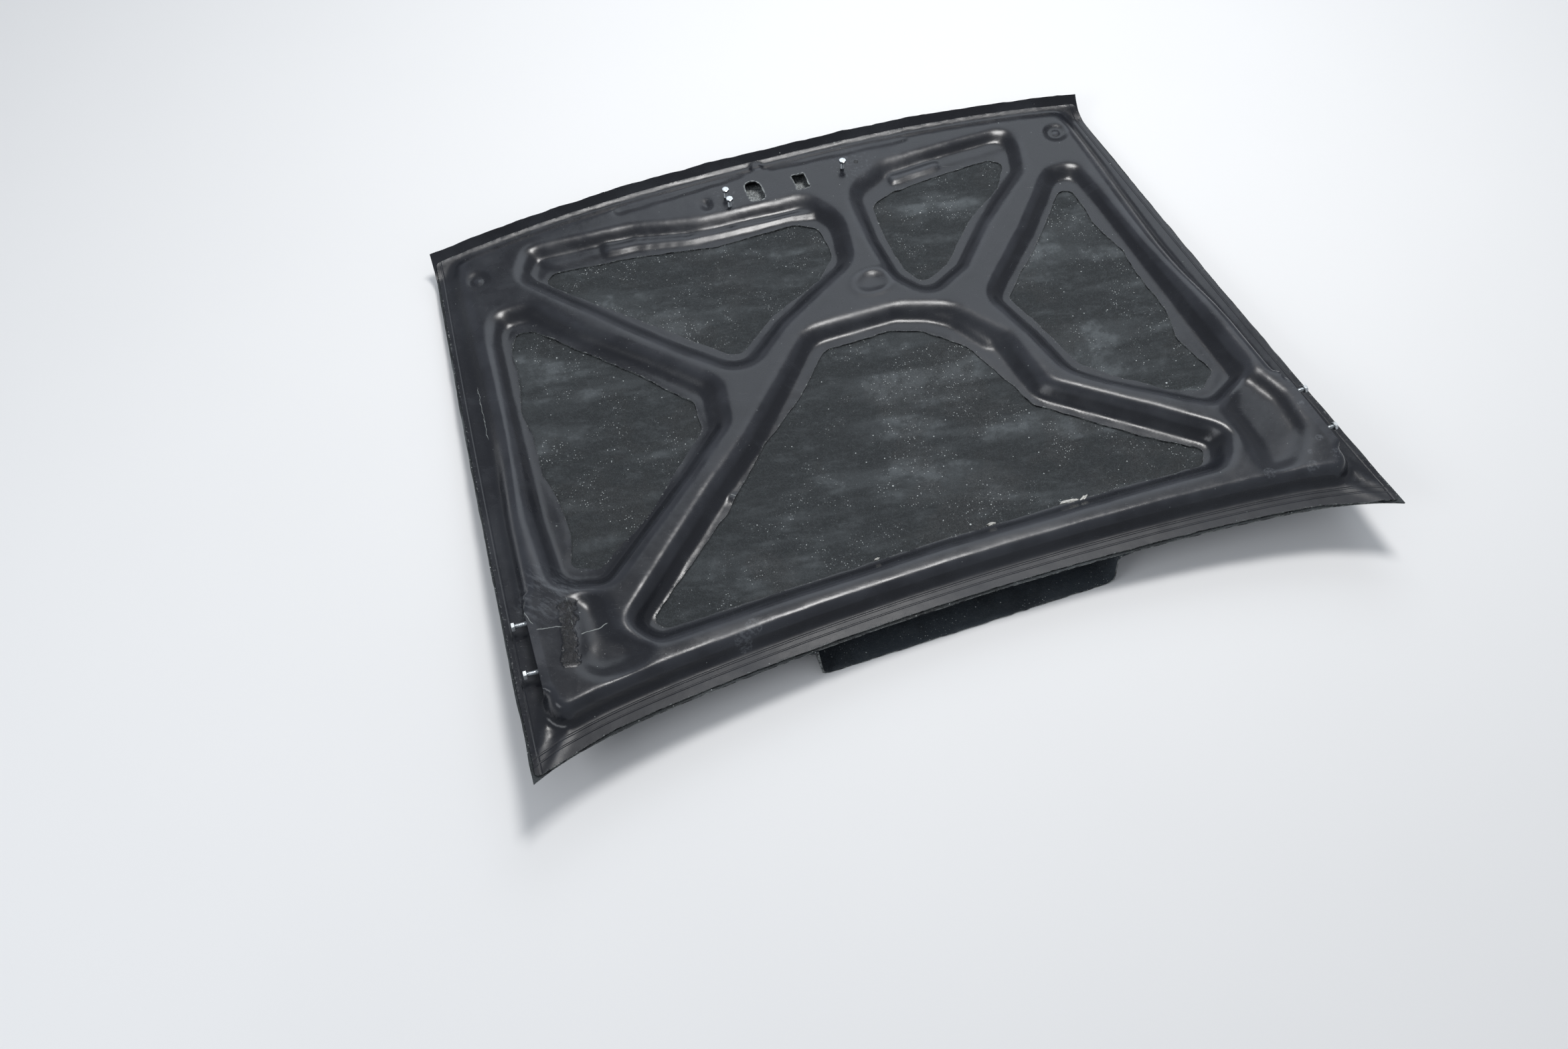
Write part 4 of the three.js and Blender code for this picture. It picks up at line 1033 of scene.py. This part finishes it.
class BONNET_OT_outer_skin(bpy.types.Operator):
    """Crowned outer skin with its raised front lip, uneven hand-laid back and cut edges"""

    bl_idname = "bonnet.outer_skin"
    bl_label = "Outer skin"

    def execute(self, context):
        rows_of_panel = np.linspace(0, 1, sizes().skin_rows, endpoint=False)
        columns = sizes().skin_columns
        u = np.linspace(-1, 1, columns + 1)
        rear = rear_edge(u * REAR_HALF_WIDTH)
        front = front_edge(u * FRONT_HALF_WIDTH)
        y = [mix(rear, front - LIP_DEPTH, v) for v in rows_of_panel]
        y += [front - s for s in LIP_DEPTH * np.linspace(1, 0, LIP_ROWS) ** 1.25]
        y = np.array(y)
        x = u * half_width(y)
        border = np.minimum(np.minimum(y - rear, front - y), half_width(y) - np.abs(x))
        ragged = ease(RAGGED_BORDER, 0, border)
        centre_ward = np.hypot(x, y)
        jag = (0.5 * noise(x, y, 11, 41) + 0.9 * noise(x, y, 38, 42)) * ragged
        shrink = 1 - (TRIM_BACK + jag) / centre_ward * ragged
        x = x * shrink
        y = y * shrink
        uneven = sizes().unevenness / MM * ease(0, 40, border)
        top = inside(x, y) + uneven * (noise(x, y, 150, 51) + 0.6 * noise(x, y, 52, 52))
        bottom = inside(x, y) - SKIN
        upper = np.stack([x, y, top], -1).reshape(-1, 3)
        lower = np.stack([x, y, bottom], -1).reshape(-1, 3)
        vertices, faces, slots = close_shell(upper, lower, grid_faces(len(y), columns + 1))
        on_lip = lip(vertices[:, 0], vertices[:, 1]) > LIP_START
        slots = [1 if slot == 0 and on_lip[face].all() else slot for face, slot in zip(faces, slots)]
        materials = [bare_laminate(), black_gelcoat("black gelcoat outside", False), cut_fibre()]
        skin = mesh_object("outer_skin_laminate", vertices, faces, materials, slots)
        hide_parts("outer_skin")
        return {"FINISHED"}


class BONNET_OT_inner_frame(bpy.types.Operator):
    """Moulded inner frame: channels, walls, trimmed flanges, pockets, ledges and latch holes"""

    bl_idname = "bonnet.inner_frame"
    bl_label = "Inner frame"

    def execute(self, context):
        cell = sizes().cell / MM
        across = np.arange(-REAR_HALF_WIDTH, REAR_HALF_WIDTH + cell, cell)
        along_y = np.arange(REAR_CORNER_Y, FRONT_EDGE_Y + cell, cell)
        x, y = np.meshgrid(across, along_y, indexing="ij")
        height, keep, cut, bend = frame_fields(x, y)
        points, faces = clip_grid(keep)
        i, j, m, n = points[:, :4].astype(int).T
        share = points[:, 4]

        def at(field):
            return mix(field[i, j], field[m, n], share)

        top = np.stack([at(x), at(y), at(height)], -1)
        bottom = top.copy()
        bottom[:, 2] = np.maximum(top[:, 2] - WALL, inside(top[:, 0], top[:, 1]) + BOND / 2)
        bottom[:, 2] = np.minimum(bottom[:, 2], top[:, 2] - THINNEST)
        vertices, faces, slots = close_shell(top, bottom, faces)
        materials = [black_gelcoat(), cut_fibre("trimmed flange edge")]
        frame_piece = mesh_object("inner_frame_moulding", vertices, faces, materials, np.array(slots) // 2)
        from_rear = y - rear_edge(x)
        from_side = half_width(y) - np.abs(x)
        # The bend marks convex shoulders, where the frame's finish lays wear and a painted highlight
        fields = {"cut": cut, "wear_and_sheen": bend, "from_rear": from_rear, "from_side": from_side}
        for name, field in fields.items():
            set_attribute(frame_piece, name, np.tile(at(field), 2))
        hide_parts("inner_frame")
        return {"FINISHED"}


class BONNET_OT_cowl_scoop(bpy.types.Operator):
    """Cowl scoop under the rear edge, with rounded corners and a flanged, open mouth"""

    bl_idname = "bonnet.cowl_scoop"
    bl_label = "Cowl scoop"

    def execute(self, context):
        back = REAR_EDGE_Y - SCOOP_OVERHANG
        half = SCOOP_HALF + SCOOP_WALL_LEAN
        far = under_skin(0, back + SCOOP_LENGTH) - SKIN
        # From the flange to the middle: distance from the centre line, thickness, share of the roof's height
        profile = [
            (half + SCOOP_FLANGE, 0, 0), (half + 5, 0, 0), (half, SKIN, 0.0), (SCOOP_HALF + 2, SKIN, 0.7),
            (SCOOP_HALF, SKIN, 0.86), (SCOOP_HALF - 5, SKIN * 0.8, 0.95), (SCOOP_HALF - 14, 0, 1), (0, 0, 1),
        ]
        side = []
        for (a0, s0, k0), (a1, s1, k1) in zip(profile, profile[1:]):
            steps = max(3, int((a0 - a1) / 9))
            side += [(mix(a0, a1, t), mix(s0, s1, t), mix(k0, k1, t)) for t in np.arange(steps) / steps]
        left = [(-a, s - a, k) for a, s, k in side]
        right = [(a, a - s, k) for a, s, k in reversed(side)]
        outer_x, inner_x, k = np.array(left + [(0, 0, 1)] + right).T
        flange_start = rear_edge(half + SCOOP_FLANGE) + 1
        mouth = np.linspace(0, 40, 9)
        roof_run = np.linspace(48, SCOOP_LENGTH, 66)
        end_flange = SCOOP_LENGTH + np.linspace(3, SCOOP_FLANGE, 5)
        rows = []
        for s in np.concatenate([mouth, roof_run, end_flange]):
            y = np.maximum(back + s, mix(flange_start, back, ease(0.1, 0.9, k)))
            w = np.clip((y - back - SCOOP_FLAT) / (SCOOP_LENGTH - SCOOP_FLAT), 0, 1)
            roof = far * w**SCOOP_FALL
            keep = k * (s <= SCOOP_LENGTH)
            rag = 0.8 * noise(outer_x, y, 14, 61) * (s == 0)
            low = mix(under_skin(outer_x, y) - SKIN, roof, keep)
            high = mix(under_skin(inner_x, y), roof + SKIN, keep)
            wavy = 0.35 * noise(inner_x, y, 60, 62) * keep * ease(0, 30, s)
            inner = np.stack([inner_x, y + rag, high + wavy], -1)
            outer = np.stack([outer_x, y + rag, low], -1)
            rows.append((inner, outer))
        upper = np.concatenate([row[0] for row in rows])
        lower = np.concatenate([row[1] for row in rows])
        lower[:, 2] = np.maximum(lower[:, 2], 0)
        vertices, faces, slots = close_shell(upper, lower, grid_faces(len(rows), len(k)))
        back_face = bare_laminate("scoop laminate", colours().scoop)
        materials = [back_face, black_gelcoat("scoop gelcoat", False), cut_fibre("scoop edge")]
        scoop = mesh_object("cowl_scoop_laminate", vertices, faces, materials, slots)
        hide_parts("cowl_scoop")
        return {"FINISHED"}


def ring_points(radius, height, around):
    """Points of a ring about the axis. Its radius and its height are even or vary along it."""
    return np.stack(np.broadcast_arrays(radius * np.cos(around), radius * np.sin(around), height), -1)


def threaded_bolt(name, seat, way, shank, material):
    """A hexagon-head screw whose head sits at seat and whose shank runs the other way along an axis."""
    pick = sizes()
    radius = pick.bolt_diameter / 2 / MM
    flats = pick.head_across_flats / 2 / MM
    tall = pick.head_height / MM
    pitch = pick.thread_pitch / MM
    thread = pick.thread_depth / MM
    around = np.linspace(0, 2 * math.pi, BOLT_SIDES, endpoint=False)
    corner = flats / np.cos((around + math.pi / 6) % (math.pi / 3) - math.pi / 6)
    drop = (corner - flats) * math.tan(HEAD_CHAMFER)
    rings = [
        (0, tall - 0.25), (flats * 0.55, tall - 0.2), (flats * 0.92, tall), (corner, tall - 0.15 - drop),
        (corner, 0.35 + drop * 0.5), (flats * 0.97, 0.3), (flats * 0.95, 0), (radius - thread, 0),
    ]
    steps = int(shank / pitch * THREAD_RINGS)
    for k in range(1, steps + 1):
        z = -shank * k / steps
        phase = (z / pitch + around / (2 * math.pi)) % 1
        crest = np.clip(1.6 * (1 - 2 * np.abs(phase - 0.5)), 0, 1)
        taper = 0.9 * ease(shank - 1.6, shank, -z) + 0.6 * ease(1.6, 0.3, -z)
        rings.append((radius - thread * (1 - crest) - taper, z))
    rings.append((0, -shank))
    points = np.concatenate([ring_points(*ring, around) for ring in rings])
    turn = Vector((0, 0, 1)).rotation_difference(Vector(way)).to_matrix()
    points = points @ np.array(turn).T + np.array(seat)
    faces = [face[::-1] for face in grid_faces(len(rings), BOLT_SIDES, True)]
    piece = mesh_object(name, points, faces, [material])
    piece.data.set_sharp_from_angle(angle=THREAD_SHARP_ANGLE)
    return piece


class BONNET_OT_screws(bpy.types.Operator):
    """Hexagon-head screws left in the hinge faces and in the latch pads"""

    bl_idname = "bonnet.screws"
    bl_label = "Screws"

    def execute(self, context):
        material = zinc_plate()
        for side, way in (("left", -1), ("right", 1)):
            for y, end in zip(HINGE_BOLT_Y, ("front", "rear")):
                node = "hinge_bolt_" + side + "_" + end
                axis = Vector((way, 0, HINGE_DRAFT)).normalized()
                face = Vector((way * on_face(y, hinge_bolt_z(y)), y, hinge_bolt_z(y)))
                seat = face + axis * HINGE_STICK_OUT
                piece = threaded_bolt(node + "_screw", seat, axis, HINGE_SHANK, material)
                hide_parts(node)
        for name in LATCH_BOLTS:
            node = "latch_bolt_" + name
            low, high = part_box(node)
            middle = (low + high) / 2 / MM
            shank = (high.z - low.z - sizes().head_height) / MM
            seat = (middle.x, middle.y, (high.z - sizes().head_height) / MM)
            piece = threaded_bolt(node + "_screw", seat, (0, 0, 1), shank, material)
            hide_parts(node)
        return {"FINISHED"}


class BONNET_OT_plates(bpy.types.Operator):
    """Steel finish for the tapping plates behind the hinge faces and latch pads"""

    bl_idname = "bonnet.plates"
    bl_label = "Tapping plates"

    def execute(self, context):
        steel = plain_steel()
        for name in TAPPED_PLATES:
            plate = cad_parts[name]
            for slot in plate.material_slots:
                slot.material = steel
            if not plate.material_slots:
                raise RuntimeError(name + " has no material slot")
        return {"FINISHED"}


class BONNET_OT_paste(bpy.types.Operator):
    """Lumps of bonding paste squeezed out beside the rear opening"""

    bl_idname = "bonnet.paste"
    bl_label = "Bonding paste"

    def execute(self, context):
        points = []
        faces = []
        quads = grid_faces(PASTE_ROWS + 1, PASTE_SIDES, True)
        for number, (centre, length, width, turn) in enumerate(PASTE):
            start = len(points)
            for k in range(PASTE_ROWS + 1):
                tilt = math.pi * k / PASTE_ROWS
                for a in range(PASTE_SIDES):
                    angle = 2 * math.pi * a / PASTE_SIDES
                    px = math.sin(tilt) * math.cos(angle)
                    py = math.sin(tilt) * math.sin(angle)
                    lump = 1 + 0.35 * float(noise(np.array(px * 3.1), np.array(py * 2.7), 1, 70 + number))
                    lx = px * length / 2 * lump
                    ly = py * width / 2 * lump
                    x = centre[0] + lx * math.cos(turn) - ly * math.sin(turn)
                    y = centre[1] + lx * math.sin(turn) + ly * math.cos(turn)
                    rise = PASTE_HALF_HEIGHT * math.cos(tilt) * lump
                    points.append((x, y, inside(x, y) + BOND + WALL / 2 + rise))
            faces += [[v + start for v in face[::-1]] for face in quads]
        piece = mesh_object("bonding_paste", points, faces, [paste_white()])
        return {"FINISHED"}


class BONNET_OT_stage(bpy.types.Operator):
    """Pale floor, soft studio lamps and the camera"""

    bl_idname = "bonnet.stage"
    bl_label = "Stage"

    def execute(self, context):
        scene = context.scene
        scene.view_settings.view_transform = "Standard"
        signs = ((-1, -1), (1, -1), (1, 1), (-1, 1))
        corners = [(FLOOR_REACH * across, FLOOR_REACH * along_y, 0) for across, along_y in signs]
        mesh = bpy.data.meshes.new("floor")
        mesh.from_pydata(corners, [], [(0, 1, 2, 3)])
        mesh.materials.append(pale_floor())
        floor = bpy.data.objects.new("floor", mesh)
        scene.collection.objects.link(floor)
        floor.location.z = -FLOOR_DROP
        world = bpy.data.worlds.new("soft sky")
        world.use_nodes = True
        tint, strength = SKY
        world.node_tree.nodes["Background"].inputs["Color"].default_value = tint
        world.node_tree.nodes["Background"].inputs["Strength"].default_value = strength
        scene.world = world
        for name, place, power, size, tint in LAMPS:
            data = bpy.data.lights.new(name, "AREA")
            data.energy = power
            data.shape = "RECTANGLE"
            data.size = size * sizes().lamp_size
            data.size_y = size * sizes().lamp_size * LAMP_ASPECT
            data.color = tint
            lamp = bpy.data.objects.new(name, data)
            lamp.location = place
            lamp.rotation_euler = (Vector(LAMP_TARGET) - Vector(place)).to_track_quat("-Z", "Y").to_euler()
            scene.collection.objects.link(lamp)
        data = bpy.data.cameras.new("camera")
        data.lens = CAMERA_LENS
        data.sensor_width = CAMERA_SENSOR
        data.sensor_fit = "HORIZONTAL"
        data.clip_end = 60
        camera = bpy.data.objects.new("camera", data)
        camera.location = CAMERA_PLACE
        camera.rotation_euler = [math.radians(a) for a in CAMERA_TURN]
        scene.collection.objects.link(camera)
        scene.camera = camera
        return {"FINISHED"}


OPERATORS = (
    BONNET_OT_outer_skin, BONNET_OT_inner_frame, BONNET_OT_cowl_scoop, BONNET_OT_screws, BONNET_OT_plates,
    BONNET_OT_paste, BONNET_OT_stage,
)


class BONNET_PT_build(bpy.types.Panel):
    """Buttons that build each piece of the bonnet, with its sizes and colours"""

    bl_label = "Car bonnet"
    bl_idname = "BONNET_PT_build"
    bl_space_type = "VIEW_3D"
    bl_region_type = "UI"
    bl_category = "Bonnet"

    def draw(self, context):
        for operator in OPERATORS:
            self.layout.operator(operator.bl_idname)
        for group in (context.scene.bonnet_sizes, context.scene.bonnet_colours):
            box = self.layout.box()
            for name in group.bl_rna.properties.keys():
                if name not in ("rna_type", "name"):
                    box.prop(group, name)


CLASSES = (BonnetSizes, BonnetColours, *OPERATORS, BONNET_PT_build)


def register():
    for item in CLASSES:
        bpy.utils.register_class(item)
    bpy.types.Scene.bonnet_sizes = bpy.props.PointerProperty(type=BonnetSizes)
    bpy.types.Scene.bonnet_colours = bpy.props.PointerProperty(type=BonnetColours)


def unregister():
    del bpy.types.Scene.bonnet_colours
    del bpy.types.Scene.bonnet_sizes
    for item in reversed(CLASSES):
        bpy.utils.unregister_class(item)


def main():
    register()
    bpy.ops.bonnet.outer_skin()
    bpy.ops.bonnet.inner_frame()
    bpy.ops.bonnet.cowl_scoop()
    bpy.ops.bonnet.screws()
    bpy.ops.bonnet.plates()
    bpy.ops.bonnet.paste()
    bpy.ops.bonnet.stage()


if __name__ == "__main__":
    main()
